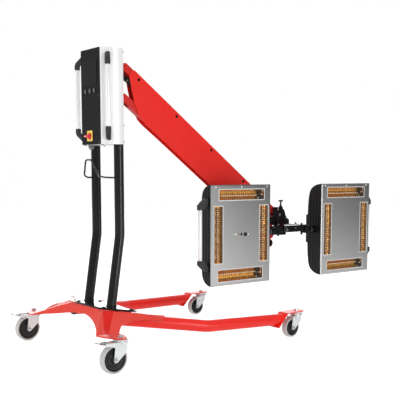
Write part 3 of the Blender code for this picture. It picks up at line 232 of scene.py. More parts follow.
HOOK = finish_of("hook_wire", (0.020, 0.020, 0.020), 0.20, metal=0.5, coat=0.6, coat_rough=0.10, vary=0.08)
BUTTON = finish_of("button_black", (0.012, 0.012, 0.013), 0.38, vary=0.08, grain=0.15, specular=0.2)
PRINT = finish_of("button_ring", (0.36, 0.36, 0.36), 0.5, vary=0.05, specular=0.2)
YELLOW = finish_of("yellow_plate", (0.93, 0.62, 0.10), 0.36, vary=0.04, coat=0.2)
KNOB = finish_of("switch_red", (0.78, 0.022, 0.030), 0.28, vary=0.04, coat=0.3)
KNOB_DEEP = finish_of("switch_deep_red", (0.20, 0.010, 0.012), 0.35, vary=0.06)
AMBER = finish_of("sensor_amber", (0.30, 0.10, 0.04), 0.2, vary=0.1, coat=0.4)
WHITE = finish_of("white_plastic", (0.88, 0.88, 0.87), 0.4, vary=0.02)


# ---- modelling helpers ------------------------------------------------------------------------------------------
def face_out(bm):
    bmesh.ops.recalc_face_normals(bm, faces=bm.faces)
    if bm.calc_volume(signed=True) < 0:
        bmesh.ops.reverse_faces(bm, faces=bm.faces)
    return bm


def prism(outline, low, high, axis="Z"):
    """A closed outline extruded between two levels of an axis. Outline pairs: Z (x, y), Y (x, z), X (y, z)."""
    def place(p, level):
        if axis == "Z":
            return (p[0], p[1], level)
        if axis == "Y":
            return (p[0], level, p[1])
        return (level, p[0], p[1])

    bm = bmesh.new()
    a = [bm.verts.new(place(p, low)) for p in outline]
    b = [bm.verts.new(place(p, high)) for p in outline]
    n = len(outline)
    for i in range(n):
        bm.faces.new((a[i], a[(i + 1) % n], b[(i + 1) % n], b[i]))
    bm.faces.new(list(reversed(a)))
    bm.faces.new(b)
    return face_out(bm)


def block(x0, x1, y0, y1, z0, z1):
    return prism([(x0, y0), (x1, y0), (x1, y1), (x0, y1)], z0, z1)


def frame_of(direction):
    d = Vector(direction).normalized()
    side = Vector((0, 0, 1)) if abs(d.z) < 0.9 else Vector((1, 0, 0))
    u = d.cross(side).normalized()
    return u, d.cross(u).normalized(), d


def turned(profile, centre, axis, steps=32, closed=False, wobble=None):
    """A profile of (radius, height) pairs turned round an axis through centre."""
    u, v, d = frame_of(axis)
    c = Vector(centre)
    bm = bmesh.new()
    rings = []
    for k, (r, h) in enumerate(profile):
        if r <= 1e-9:
            rings.append([bm.verts.new(c + d * h)])
            continue
        ring = []
        for i in range(steps):
            a = 2 * math.pi * i / steps
            rr = r + (wobble(k, i) if wobble else 0.0)
            ring.append(bm.verts.new(c + d * h + u * (rr * math.cos(a)) + v * (rr * math.sin(a))))
        rings.append(ring)
    pairs = list(zip(rings, rings[1:])) + ([(rings[-1], rings[0])] if closed else [])
    for p, q in pairs:
        for i in range(steps):
            j = (i + 1) % steps
            if len(p) == 1 and len(q) == 1:
                continue
            if len(p) == 1:
                bm.faces.new((p[0], q[j], q[i]))
            elif len(q) == 1:
                bm.faces.new((p[i], p[j], q[0]))
            else:
                bm.faces.new((p[i], p[j], q[j], q[i]))
    return face_out(bm)


def rod(start, end, radius, steps=24, soft=0.0):
    a, b = Vector(start), Vector(end)
    length = (b - a).length
    s = min(soft, radius * 0.6, length * 0.4)
    if s > 0:
        profile = [(0, 0), (radius - s, 0), (radius - s * 0.3, s * 0.3), (radius, s), (radius, length - s),
                   (radius - s * 0.3, length - s * 0.3), (radius - s, length), (0, length)]
    else:
        profile = [(0, 0), (radius, 0), (radius, length), (0, length)]
    return turned(profile, a, b - a, steps)


def rounded(x0, x1, y0, y1, r, steps=4):
    pts = []
    for cx, cy, start in ((x1 - r, y0 + r, -90), (x1 - r, y1 - r, 0), (x0 + r, y1 - r, 90), (x0 + r, y0 + r, 180)):
        for i in range(steps + 1):
            a = math.radians(start + 90 * i / steps)
            pts.append((cx + r * math.cos(a), cy + r * math.sin(a)))
    return pts


def oval(x, y, a, b, steps=24):
    return [(x + a * math.cos(2 * math.pi * i / steps), y + b * math.sin(2 * math.pi * i / steps)) for i in range(steps)]


def bent(points, radius, steps=5):
    """Round the corners of a path."""
    pts = [Vector(p) for p in points]
    out = [pts[0]]
    for before, at, after in zip(pts, pts[1:], pts[2:]):
        a, b = (before - at), (after - at)
        half = a.angle(b) / 2
        cut = min(radius / math.tan(half) if math.tan(half) > 1e-6 else 0, a.length * 0.49, b.length * 0.49)
        p, q = at + a.normalized() * cut, at + b.normalized() * cut
        for i in range(steps + 1):
            t = i / steps
            out.append(p * (1 - t) ** 2 + at * (2 * t * (1 - t)) + q * t ** 2)
    out.append(pts[-1])
    return out


def swept(points, radius, steps=16, close=True):
    """A round tube or wire along a path; radius is a number or one for each point."""
    pts = [Vector(p) for p in points]
    radii = radius if isinstance(radius, (list, tuple)) else [radius] * len(pts)
    bm = bmesh.new()
    rings = []
    u = None
    for i, p in enumerate(pts):
        d = (pts[min(i + 1, len(pts) - 1)] - pts[max(i - 1, 0)]).normalized()
        if u is None:
            u, v, _ = frame_of(d)
        else:
            u = (u - d * u.dot(d)).normalized()
            v = d.cross(u)
        rings.append([bm.verts.new(p + (u * math.cos(2 * math.pi * k / steps) + v * math.sin(2 * math.pi * k / steps)) * radii[i])
                      for k in range(steps)])
    for a, b in zip(rings, rings[1:]):
        for k in range(steps):
            j = (k + 1) % steps
            bm.faces.new((a[k], a[j], b[j], b[k]))
    if close:
        bm.faces.new(list(reversed(rings[0])))
        bm.faces.new(rings[-1])
    return face_out(bm)


def joined(parts):
    """Several shapes as one mesh."""
    mesh = bpy.data.meshes.new("joined")
    out = bmesh.new()
    for bm in parts:
        bm.to_mesh(mesh)
        bm.free()
        out.from_mesh(mesh)
    bpy.data.meshes.remove(mesh)
    return out


def moved(bm, matrix):
    bmesh.ops.transform(bm, matrix=matrix, verts=bm.verts)
    if matrix.determinant() < 0:
        bmesh.ops.reverse_faces(bm, faces=bm.faces)
    return bm


def mirrored(bm, side):
    if side < 0:
        moved(bm, Matrix.Diagonal((1, -1, 1, 1)))
    return bm


def smooth_line(points, steps=4):
    """A Catmull-Rom line through the points."""
    pts = [Vector(p) for p in points]
    out = []
    for i in range(len(pts) - 1):
        p0, p1, p2, p3 = pts[max(i - 1, 0)], pts[i], pts[i + 1], pts[min(i + 2, len(pts) - 1)]
        for k in range(steps):
            t = k / steps
            out.append(0.5 * ((2 * p1) + (p2 - p0) * t + (2 * p0 - 5 * p1 + 4 * p2 - p3) * t * t
                              + (3 * p1 - 3 * p2 + p3 - p0) * t ** 3))
    out.append(pts[-1])
    return [tuple(p) for p in out]


def piece(name, bm, mat, body, space=LAMP, bevel=0.0, angle=35.0, segments=2, replaces=(), mats=None):
    if space is not None:
        bmesh.ops.transform(bm, matrix=space, verts=bm.verts)
    mesh = bpy.data.meshes.new(name)
    bm.to_mesh(mesh)
    bm.free()
    ob = bpy.data.objects.new(name, mesh)
    scene.collection.objects.link(ob)
    for m in (mats or [mat]):
        mesh.materials.append(m)
    mesh.shade_smooth()
    mesh.set_sharp_from_angle(angle=math.radians(angle))
    if bevel > 0:
        soften = ob.modifiers.new("edges", "BEVEL")
        soften.width = bevel
        soften.segments = segments
        soften.limit_method = "ANGLE"
        soften.angle_limit = math.radians(max(angle, 28.0))
        soften.harden_normals = True
        soften.use_clamp_overlap = True
    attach(ob, body)
    if replaces:
        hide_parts(*replaces)
    return ob


body_of = {node: body for body, members in frame["record"]["behaviour"]["bodies"].items() for node in members}
done = set()


def refined(node, mat, bevel=0.0006, angle=35.0, segments=2, flat=0.4):
    """The node's own shape with joined faces, smooth shading and soft edges."""
    bm = bmesh.new()
    bm.from_mesh(frame["nodes"][node].data)
    bmesh.ops.remove_doubles(bm, verts=bm.verts, dist=2e-5)
    bmesh.ops.dissolve_limit(bm, angle_limit=math.radians(flat), verts=bm.verts, edges=bm.edges)
    done.add(node)
    return piece("v_" + node, bm, mat, body_of[node], None, bevel, angle, segments, (node,))


# ---- casters ----------------------------------------------------------------------------------------------------
def hex_head(centre, axis, across, height, steps=6):
    """A hexagon bolt head with a turned crown, on its washer."""
    r = across / math.sqrt(3)
    head = turned([(0, 0), (r, 0), (r, height * 0.78), (r * 0.86, height), (0, height)], centre, axis, steps)
    washer = turned([(0, -0.0002), (r * 1.25, -0.0002), (r * 1.25, 0.0008), (r * 1.15, 0.0010), (0, 0.0010)], centre, axis, 24)
    return [head, washer]


def dome_head(centre, axis, radius, height):
    profile = [(0, 0), (radius, 0)] + [(radius * math.cos(math.radians(a)), height * math.sin(math.radians(a)))
                                       for a in range(10, 90, 16)] + [(0, height)]
    return turned(profile, centre, axis, 24)


def socket_screw(centre, axis, radius, height):
    """A button-head screw with a round recess."""
    profile = [(0, height * 0.35), (radius * 0.42, height * 0.35), (radius * 0.46, height * 0.98), (radius * 0.62, height),
               (radius * 0.88, height * 0.70), (radius, 0.0), (0, -0.0004)]
    return turned(profile, centre, axis, 20)


CASTERS = []
for end, (cx, cy, trail, radius, under) in {
    "rear": (-0.1970, 0.4010, 0.0370, 0.0625, 0.1450), "front": (0.8920, 0.3906, 0.0406, 0.0500, 0.1276)
}.items():
    for hand, side in (("left", 1), ("right", -1)):
        CASTERS.append((end, hand, cx, side * cy, trail, radius, under))

for end, hand, cx, cy, trail, radius, under in CASTERS:
    name = f"{end}_{hand}"
    wheel = (cx - trail, cy, radius)
    rim = 0.85 * radius
    half = 0.016
    ribs = 54 if end == "rear" else 44

    def tread(k, i):
        return -0.0007 if (k in (3, 4, 7, 8) and i % 4 in (0, 1)) else 0.0

    tyre = [(rim, -half + 0.0012), (rim + 0.0018, -half + 0.0002), (radius * 0.925, -half), (radius * 0.965, -half * 0.94),
            (radius * 0.990, -half * 0.78), (radius, -half * 0.52), (radius, half * 0.52), (radius * 0.990, half * 0.78),
            (radius * 0.965, half * 0.94), (radius * 0.925, half), (rim + 0.0018, half - 0.0002), (rim, half - 0.0012)]
    piece(f"v_{name}_tyre", turned(tyre, wheel, (0, 1, 0), ribs * 4, True, tread), TYRE, f"{name}_wheel", bevel=0, angle=50,
          replaces=(f"{name}_tyre",))
    s = radius / 0.0625
    hub = []
    for y_side in (-1, 1):
        line = [(0.0056, 0.0176), (0.0135, 0.0176), (0.0150, 0.0168), (0.0160, 0.0125), (0.0185 * s, 0.0085), (0.0230 * s, 0.0072),
                (0.0290 * s, 0.0072), (0.0305 * s, 0.0092), (0.0335 * s, 0.0098), (0.0350 * s, 0.0078), (0.0400 * s, 0.0074),
                (0.0450 * s, 0.0090), (rim * 0.925, 0.0128), (rim * 0.950, 0.0141), (rim - 0.0006, 0.0141)]
        hub += [(r, h) for r, h in line] if y_side > 0 else [(r, -h) for r, h in reversed(line)]
    hub_bm = turned([(r, h) for r, h in hub], wheel, (0, 1, 0), 72, True)
    piece(f"v_{name}_hub", hub_bm, HUB, f"{name}_wheel", angle=40, replaces=(f"{name}_hub",))
    bearing = [turned([(0.0056, 0), (0.0118, 0), (0.0118, 0.0009), (0.0108, 0.0013), (0.0070, 0.0013), (0.0056, 0.0009)],
                      (wheel[0], cy + t * 0.0175, wheel[2]), (0, t, 0), 32, True) for t in (1, -1)]
    piece(f"v_{name}_bearing_shields", joined(bearing), DARK_STEEL, f"{name}_wheel", angle=40)

    refined(f"{name}_fork", ZINC, 0.0009, 40, 3)
    trim = []
    for t in (1, -1):
        trim += hex_head((wheel[0], cy + t * 0.0228, wheel[2]), (0, t, 0), 0.0130, 0.0046)
        trim.append(rod((wheel[0], cy + t * 0.0268, wheel[2]), (wheel[0], cy + t * 0.0292, wheel[2]), 0.0036, 18, 0.0006))
    piece(f"v_{name}_axle_nuts", joined(trim), DARK_STEEL, f"{name}_swivel", angle=35, bevel=0.0004)
    # Raceway: dust ring over the balls and a pressed lip.
    top = 2 * radius + 0.0035
    race = [turned([(0.0285, top + 0.0100), (0.0330, top + 0.0100), (0.0338, top + 0.0112), (0.0338, top + 0.0130),
                    (0.0330, top + 0.0142), (0.0285, top + 0.0142)], (cx, cy, 0), (0, 0, 1), 56, True)]
    for k in range(22):
        a = 2 * math.pi * k / 22
        race.append(rod((cx + 0.0305 * math.cos(a), cy + 0.0305 * math.sin(a), top + 0.0068),
                        (cx + 0.0305 * math.cos(a), cy + 0.0305 * math.sin(a), top + 0.0102), 0.0022, 10, 0.0008))
    piece(f"v_{name}_raceway", joined(race), STEEL, f"{name}_swivel", angle=40)
    if end == "rear":
        refined(f"{name}_brake_pedal", ZINC_DARK, 0.0005, 35, 2)
        ribs_bm = [rod((wheel[0] + a, cy - 0.0100, z), (wheel[0] + a, cy + 0.0100, z), 0.0011, 10, 0.0004)
                   for a, z in ((-0.0790, 0.1419), (-0.0820, 0.1426), (-0.0850, 0.1432))]
        piece(f"v_{name}_pedal_ribs", joined(ribs_bm), ZINC, f"{name}_pedal", angle=40)

# Nuts on the flanges over the swivels.
kingpins = []
for end, hand, cx, cy, trail, radius, under in CASTERS:
    z = 0.15045 if end == "rear" else 0.1327
    kingpins += hex_head((cx, cy, z), (0, 0, 1), 0.0190, 0.0080)
    kingpins.append(rod((cx, cy, z), (cx, cy, z + 0.0115), 0.0058, 20, 0.001))
piece("v_caster_nuts", joined(kingpins), STEEL, "base", angle=35, bevel=0.0005)

# ---- base -------------------------------------------------------------------------------------------------------
member = refined("rear_cross_member", RED_FOLD, 0.0, 10, 1)
member.data.materials.append(RED_PAINTED_SHADE)
member.data.materials.append(RED_GLOSS)
member.data.materials.append(RED_LUG)
# Painted shade: faces inside this chamfer outline take the darker red copy as material 1.
FOLD = [(-0.1262, 0.1440), (-0.1035, 0.2000), (-0.2080, 0.3240), (-0.2260, 0.3180)]
for face in member.data.polygons:
    at = member.matrix_world @ face.center
    fx, fy = at.x + 0.6985, abs(at.y)
    turns = [(bx - ax) * (fy - ay) - (by - ay) * (fx - ax) for (ax, ay), (bx, by) in zip(FOLD, FOLD[1:] + FOLD[:1])]
    if (all(t <= 1e-7 for t in turns) or all(t >= -1e-7 for t in turns)) and at.z > 0.1560:
        face.material_index = 1
    elif (face.normal.z > 0.97 and at.z > 0.19) or (face.normal.z > 0.45 and face.normal.x > -0.5 and at.y > 0.06):
        face.material_index = 2
    if face.normal.z > 0.97 and abs(at.z - 0.1504) < 0.002:
        face.material_index = 3
for hand in ("left", "right"):
    refined(f"leg_tube_{hand}", RED, 0.0008, 32, 2)
    refined(f"leg_end_cap_{hand}", BLACK, 0.0008, 30, 2)
refined("base_plate", BLACK, 0.0008, 30, 2)
inner_half = [(-0.1165, 0.0), (-0.1165, 0.1055), (-0.0400, 0.2640), (-0.0335, 0.2640), (-0.0270, 0.2540), (-0.0300, 0.1900),
              (-0.0200, 0.1200), (-0.0160, 0.0600), (-0.0160, 0.0)]
sheet_top = prism(inner_half + [(x, -y) for x, y in reversed(inner_half[1:-1])], 0.2236, 0.2243)
piece("v_base_plate_top", sheet_top, PLATE, "base", angle=30)
bolts = []
for x, y in ((-0.1000, 0.112), (-0.0310, 0.237), (-0.0235, 0.045), (-0.0860, 0.200)):
    for t in (1, -1) if x not in (-0.0310, -0.0860) else (-1,):
        bolts.append(dome_head((x, t * y, 0.2241), (0, 0, 1), 0.0088, 0.0052))
        bolts.append(turned([(0, 0), (0.0112, 0), (0.0112, 0.0012), (0.0105, 0.0016), (0, 0.0016)], (x, t * y, 0.2240), (0, 0, 1), 28))
piece("v_base_plate_bolts", joined(bolts), BLACK_DEEP, "base", angle=40)
lip_line = bent(((-0.1175, 0.1040, 0.2246), (-0.1175, -0.1058, 0.2246), (-0.0405, -0.2650, 0.2246), (-0.0330, -0.2650, 0.2246),
                 (-0.0262, -0.2540, 0.2246)), 0.004, 4)
piece("v_base_plate_lip", swept(lip_line, 0.0021, 12), BLACK_DEEP, "base", angle=50)
# Weld collars round the feet of the mast tubes.
welds = []
for t in (1, -1):
    tilt = Matrix.Translation((-0.0516, t * 0.1007, 0.2243))
    ring = turned([(0.0226, 0.0), (0.0252, 0.0), (0.0262, 0.0014), (0.0250, 0.0032), (0.0232, 0.0044), (0.0226, 0.0042)],
                  (0, 0, 0), (0, 0, 1), 48, True, lambda k, i: 0.0003 * math.sin(i * 1.7) + 0.0002 * math.sin(i * 3.1))
    welds.append(moved(ring, tilt))
piece("v_mast_welds", joined(welds), BLACK, "base", angle=60)

# ---- mast -------------------------------------------------------------------------------------------------------
for side, hand in ((1, "left"), (-1, "right")):
    y = side * 0.1007
    line = bent(((-0.0516, y, 0.2243), (0.0, y, 0.550), (0.0, y, 0.9713)), 0.25, 14)
    piece(f"v_mast_tube_{hand}", swept(line, 0.0228, 48), BLACK_TUBE, "base", angle=40, replaces=(f"mast_tube_{hand}",))

hook = bent(((-0.0226, -0.1007, 0.8200), (-0.0400, -0.1007, 0.8202), (-0.0540, -0.070, 0.8215), (-0.0570, -0.012, 0.8270),
             (-0.0650, 0.0370, 0.9030), (-0.0660, 0.0840, 0.9030), (-0.0660, 0.0995, 0.8300), (-0.0480, 0.1007, 0.8206),
             (-0.0226, 0.1007, 0.8200)), 0.014, 8)
piece("v_cable_hook", swept(hook, 0.0042, 16), HOOK, "base", angle=50, replaces=("cable_hook",))

# ---- control box ------------------------------------------------------------------------------------------------
Z0, Z1 = 0.9717, 1.4044
bulge = smooth_line([(-0.0790, 0.0880), (-0.0670, 0.0970), (-0.0500, 0.1080), (-0.0310, 0.1165), (-0.0120, 0.1210),
                     (0.0060, 0.1200), (0.0225, 0.1090), (0.0380, 0.0885), (0.0480, 0.0700), (0.0545, 0.0520), (0.0575, 0.0380)], 5)


def grooved(line, grooves):
    """Cut small V grooves into an open outline at some X positions."""
    out = []
    for a, b in zip(line, line[1:]):
        out.append(a)
        for g, depth in grooves:
            if a[0] < g <= b[0] and b[1] > a[1]:
                t = (g - a[0]) / (b[0] - a[0])
                p = Vector((g, a[1] + (b[1] - a[1]) * t))
                d = (Vector(b[:2]) - Vector(a[:2])).normalized()
                n = Vector((d.y, -d.x))
                out += [tuple(p - d * 0.0009), tuple(p - d * 0.0005 + n * depth), tuple(p + d * 0.0005 + n * depth), tuple(p + d * 0.0009)]
    out.append(line[-1])
    return [(p[0], p[1]) for p in out]


skin = [(-0.0810, 0.0806), (-0.0819, 0.0814), (-0.0815, 0.0835)]
skin += grooved(bulge, ((-0.0640, 0.0010), (-0.0400, 0.0008), (-0.0020, 0.0007)))
shell_line = skin + [(0.0575, 0.0)] + [(x, -y) for x, y in reversed(skin)]
housing = prism(shell_line, Z0 + 0.0004, Z1 - 0.0004)
piece("v_control_housing", housing, ALU, "base", bevel=0.0007, angle=30, segments=2, replaces=("control_housing",))
cover = [(x * 0.985 - 0.0002, y * 0.985) for x, y in [(-0.0800, 0.0800)] + [p[:2] for p in bulge]]
cover = cover + [(0.0566, 0.0)] + [(x, -y) for x, y in reversed(cover)]
piece("v_housing_top_seam", prism(cover, Z1 - 0.0012, Z1 - 0.0002), ALU, "base", bevel=0.0003, angle=30)

fixings = []
for z in (1.3905, 1.0585, 0.9850):
    for t in (1, -1):
        fixings.append(socket_screw((0.0302, t * 0.0985, z), (0.798, t * 0.603, 0), 0.0046, 0.0032))
for x, y in ((-0.0700, 0.075), (0.030, 0.070), (-0.020, 0.098)):
    for t in (1, -1):
        fixings.append(socket_screw((x, t * y, Z1 - 0.0026), (0, 0, 1), 0.0036, 0.0020))
        fixings.append(socket_screw((x, t * y, Z0 + 0.0006), (0, 0, -1), 0.0050, 0.0042))
piece("v_housing_screws", joined(fixings), DARK_STEEL, "base", angle=35)

PX = -0.0852
refined("rear_panel", PANEL, 0.0005, 30, 2)
screws = []
for y, z in ((-0.0745, 1.392), (0.0745, 1.392), (-0.0745, 1.192), (0.0745, 1.192), (-0.0745, 0.984), (0.0745, 0.984)):
    screws.append(socket_screw((PX - 0.0001, y, z), (-1, 0, 0), 0.0030, 0.0016))
piece("v_panel_screws", joined(screws), DARK_STEEL, "base", angle=35)
# Display: a raised frame round the dark window, and a thin line round the keypad field.
refined("display_window", WINDOW, 0.0005, 30, 2)


def flat_frame(outer_pts, inner_pts, low, high, axis="X"):
    """A ring between two outlines with the same number of points, between two levels of an axis."""
    def place(p, level):
        if axis == "X":
            return (level, p[0], p[1])
        if axis == "Y":
            return (p[0], level, p[1])
        return (p[0], p[1], level)

    bm = bmesh.new()
    n = len(outer_pts)
    loops = [[bm.verts.new(place(p, level)) for p in line] for line, level in
             ((outer_pts, low), (outer_pts, high), (inner_pts, high), (inner_pts, low))]
    for a, b in zip(loops, loops[1:] + loops[:1]):
        for i in range(n):
            j = (i + 1) % n
            bm.faces.new((a[i], a[j], b[j], b[i]))
    return face_out(bm)


field = flat_frame(rounded(-0.0705, 0.0775, 1.1935, 1.3700, 0.005), rounded(-0.0698, 0.0768, 1.1942, 1.3693, 0.0045),
                   PX - 0.0004, PX + 0.0001)
piece("v_keypad_line", field, BUTTON, "base", angle=35)
bezel = flat_frame(rounded(-0.0592, 0.0702, 1.2418, 1.3542, 0.004), rounded(-0.0570, 0.0680, 1.2440, 1.3520, 0.003),
                   PX - 0.0010, PX - 0.0002)
piece("v_display_bezel", bezel, PANEL, "base", bevel=0.0003, angle=30)

for i, y in enumerate((0.038, 0.0, -0.037)):
    cap = turned([(0, -0.0042), (0.55, -0.0042), (0.86, -0.0034), (0.97, -0.0022), (1.0, -0.0010), (1.0, 0.0050), (0, 0.0050)],
                 (0, 0, 0), (1, 0, 0), 40)
    bmesh.ops.scale(cap, vec=(1.0, 0.0071, 0.0114), verts=cap.verts)
    bmesh.ops.translate(cap, vec=(PX, y, 1.216), verts=cap.verts)
    piece(f"v_push_button_{i + 1}", cap, BUTTON, f"button_{i + 1}", angle=40, replaces=(f"push_button_{i + 1}",))
    ring = flat_frame(oval(y, 1.216, 0.0060, 0.0100), oval(y, 1.216, 0.0047, 0.0086), PX - 0.0044, PX - 0.0030)
    piece(f"v_button_ring_{i + 1}", ring, PRINT, f"button_{i + 1}", angle=40)
    if i == 0:
        sign = prism([(y - 0.0022, 1.2120), (y + 0.0022, 1.2160), (y - 0.0022, 1.2200), (y - 0.0012, 1.2160)], PX - 0.00445, PX - 0.0038, "X")
    elif i == 1:
        sign = joined([block(PX - 0.00445, PX - 0.0038, y - 0.0022, y + 0.0022, 1.2123 + 0.003 * k, 1.2136 + 0.003 * k) for k in range(3)])
    else:
        sign = prism(oval(y, 1.216, 0.0020, 0.0032), PX - 0.00445, PX - 0.0038, "X")
    piece(f"v_button_sign_{i + 1}", sign, PRINT, f"button_{i + 1}", angle=40)

refined("switch_plate", YELLOW, 0.0006, 30, 2)
piece("v_switch_collar", turned([(0.0045, -0.0028), (0.0150, -0.0028), (0.0160, -0.0022), (0.0160, -0.0018), (0.0045, -0.0018)],
                                (PX - 0.0004, 0.008, 1.010), (1, 0, 0), 40, True), KNOB_DEEP, "base", angle=40)
KY, KZ = 0.008, 1.010
dial = turned([(0, -0.0094), (0.0060, -0.0094), (0.0108, -0.0090), (0.0130, -0.0076), (0.0135, -0.0060), (0.0135, -0.0032),
               (0.0042, -0.0032), (0.0042, 0.0080), (0, 0.0080)], (PX, KY, KZ), (1, 0, 0), 48)
lever = prism(rounded(KY - 0.0110, KY + 0.0240, KZ - 0.0046, KZ + 0.0046, 0.0042, 5), PX - 0.0190, PX - 0.0070, "X")
piece("v_main_switch_knob", joined([dial, lever]), KNOB, "main_switch", bevel=0.0010, angle=35, segments=3,
      replaces=("main_switch_knob",))
piece("v_switch_mark", prism(rounded(KY + 0.0030, KY + 0.0200, KZ - 0.0009, KZ + 0.0009, 0.0008, 3), PX - 0.01925, PX - 0.0185, "X"),
      WHITE, "main_switch", angle=35)
piece("v_pilot_lamp", dome_head((PX - 0.0001, -0.0475, 1.0070), (-1, 0, 0), 0.0026, 0.0016), KNOB_DEEP, "base", angle=40)

gland = turned([(0, 0.9500), (0.0066, 0.9500), (0.0068, 0.9518), (0.0102, 0.9528), (0.0120, 0.9560), (0.0125, 0.9600), (0.0125, 0.9612),
                (0.0142, 0.9614), (0.0142, 0.9700), (0.0136, 0.9712), (0, 0.9712)], (-0.056, 0.047, 0), (0, 0, 1), 40)
nut = turned([(0.0110, 0.9622), (0.0142, 0.9622), (0.0150, 0.9630), (0.0150, 0.9674), (0.0142, 0.9684), (0.0110, 0.9684)],
             (-0.056, 0.047, 0), (0, 0, 1), 6, True)
piece("v_cable_gland", joined([gland, nut]), GREY, "base", bevel=0.0004, angle=30, replaces=("cable_gland",))
piece("v_cable_gland_plug", dome_head((-0.056, 0.047, 0.9520), (0, 0, -1), 0.0060, 0.0018), BLACK_DEEP, "base", angle=50)
refined("power_unit", DARK_STEEL, 0.0008, 30, 2)

# Box handles.
def elbow_bracket(node, hx, side, upper):
    """A moulded elbow: round where it grips the tube, flattened against the housing."""
    def z_of(z):
        return z if upper else 2.373 - z

    line = bent([(0.0, z_of(1.3255), 0.0), (0.0, z_of(1.3470), 0.0), (-0.0280, z_of(1.3760), 0.0)], 0.022, 6)
    bm = bmesh.new()
    rows = []
    count = len(line)
    for k, (a, z, _) in enumerate(line):
        t = k / (count - 1)
        before, after = line[max(0, k - 1)], line[min(count - 1, k + 1)]
        run = Vector((after[0] - before[0], after[1] - before[1])).normalized()
        across = Vector((-run.y, run.x))
        half_width = 0.0124 + 0.0008 * t
        half_depth = 0.0124 - 0.0004 * t
        row = []
        for i in range(28):
            angle = 2 * math.pi * i / 28
            c, q = math.cos(angle), math.sin(angle)
            power = 0.86
            u = math.copysign(abs(c) ** power, c) * half_width
            v = math.copysign(abs(q) ** power, q) * half_depth
            row.append(bm.verts.new((hx + u - 0.62 * a, side * (0.1330 + a + across.x * v), z + across.y * v)))
        rows.append(row)
    for a, b in zip(rows, rows[1:]):
        for i in range(28):
            j = (i + 1) % 28
            bm.faces.new((a[i], a[j], b[j], b[i]))
    bm.faces.new(rows[0])
    bm.faces.new(rows[-1])
    piece("v_" + node, face_out(bm), CHARCOAL, "base", bevel=0.0022, angle=38, segments=4, replaces=(node,))
    done.add(node)


for side, hand in ((1, "left"), (-1, "right")):
    hx, hy = -0.0740, side * 0.1330
    for label in ("upper", "lower"):
        elbow_bracket(f"handle_bracket_{label}_{hand}", hx, side, label == "upper")
    grip = turned([(0, 0.0), (0.0108, 0.0), (0.0110, 0.0004), (0.0110, 0.3156), (0.0108, 0.3160), (0, 0.3160)], (hx, hy, 1.0285),
                  (0, 0, 1), 56)
    piece(f"v_handle_tube_{hand}", grip, ALU_TUBE, "base", angle=40, replaces=(f"handle_tube_{hand}",))
    bands = [turned([(0.0109, -0.0012), (0.0122, -0.0012), (0.0126, 0.0), (0.0122, 0.0012), (0.0109, 0.0012)], (hx, hy, z), (0, 0, 1), 48, True)
             for z in (1.0490, 1.3240)]
    piece(f"v_handle_collars_{hand}", joined(bands), CHARCOAL, "base", angle=50)

# ---- column bracket and lift arm --------------------------------------------------------------------------------
refined("column_bracket", BLACK_DEEP, 0.0007, 32, 2)
SLOPE = math.radians(-35.54)
UX = Vector((math.cos(SLOPE), math.sin(SLOPE)))
UZ = Vector((-UX.y, UX.x))
REACH = 1.2178
UP, LOW = (0.0980, 1.3395), (0.0900, 1.1977)


def along(pivot, s, t):
    p = Vector(pivot) + UX * s + UZ * t
    return (p.x, p.y)


refined("upper_arm_bar", RED_DEEP, 0.0009, 32, 2)
refined("lower_arm_bar", RED_DEEP, 0.0009, 32, 2)
for hand in ("left", "right"):
    refined(f"arm_cover_{hand}", RED, 0.0006, 30, 2)
refined("gas_spring_cylinder", BLACK_DEEP, 0.0005, 32, 2)
refined("gas_spring_rod", STEEL, 0.0003, 32, 2)
refined("end_link", RED_DEEP, 0.0008, 32, 2)

cover_screws = []
for x, z in ((0.1731, 1.2849), (0.4006, 1.1241), (0.6291, 0.9608), (0.8586, 0.7975)):
    for t in (1, -1):
        cover_screws.append(socket_screw((x, t * 0.01775, z), (0, t, 0), 0.0062, 0.0034))
        cover_screws.append(turned([(0, 0), (0.0074, 0), (0.0074, 0.0005), (0.0068, 0.0008), (0, 0.0008)], (x, t * 0.01775, z), (0, t, 0), 28))
piece("v_cover_screws", joined(cover_screws), BLACK_DEEP, "upper_arm", angle=35)

pivots = []
for pivot, body in ((UP, "upper_arm"), (LOW, "lower_arm")):
    for s in (0.0, REACH):
        x, z = along(pivot, s, 0)
        heads = []
        for t in (1, -1):
            if s and body == "lower_arm":
                heads.append(turned([(0, 0), (0.0075, 0), (0.0075, 0.0005), (0, 0.0005)], (x, t * 0.0149, z), (0, t, 0), 32))
            else:
                heads += hex_head((x, t * 0.0149, z), (0, t, 0), 0.0130, 0.0042)
        pivots.append(piece(f"v_pivot_bolts_{body}_{'column' if s == 0 else 'link'}", joined(heads), RED_DEEP, body, bevel=0.0004,
                            angle=35))

# Two ears on the column bracket carry the gas spring's foot, with a spacer between them.
ears = []
for t in (1, -1):
    shape = [(0.0672, 1.3180), (0.0900, 1.3120), (0.0975, 1.3050), (0.0980, 1.2955), (0.0905, 1.2885), (0.0672, 1.2720)]
    low, high = sorted((t * 0.0094, t * 0.0112))
    ears.append(prism(shape, low, high, "Y"))
ears.append(rod((0.0880, -0.0150, 1.3000), (0.0880, 0.0150, 1.3000), 0.0042, 20, 0.0008))
piece("v_spring_ears", joined(ears), BLACK_DEEP, "base", bevel=0.0004, angle=35)
rings = []
spring_run = Vector(along(UP, 0.420, -0.038)) - Vector((0.0880, 1.3000))
spring_dir = Vector((spring_run.x, 0.0, spring_run.y)).normalized()
for k in (0.030, 0.240):
    centre = Vector((0.0880, 0.0, 1.3000)) + spring_dir * k
    rings.append(turned([(0.0104, 0.0), (0.0116, 0.0004), (0.0116, 0.0050), (0.0104, 0.0054)], centre, spring_dir, 40, True))
piece("v_spring_rings", joined(rings), DARK_STEEL, "gas_cylinder", angle=50)

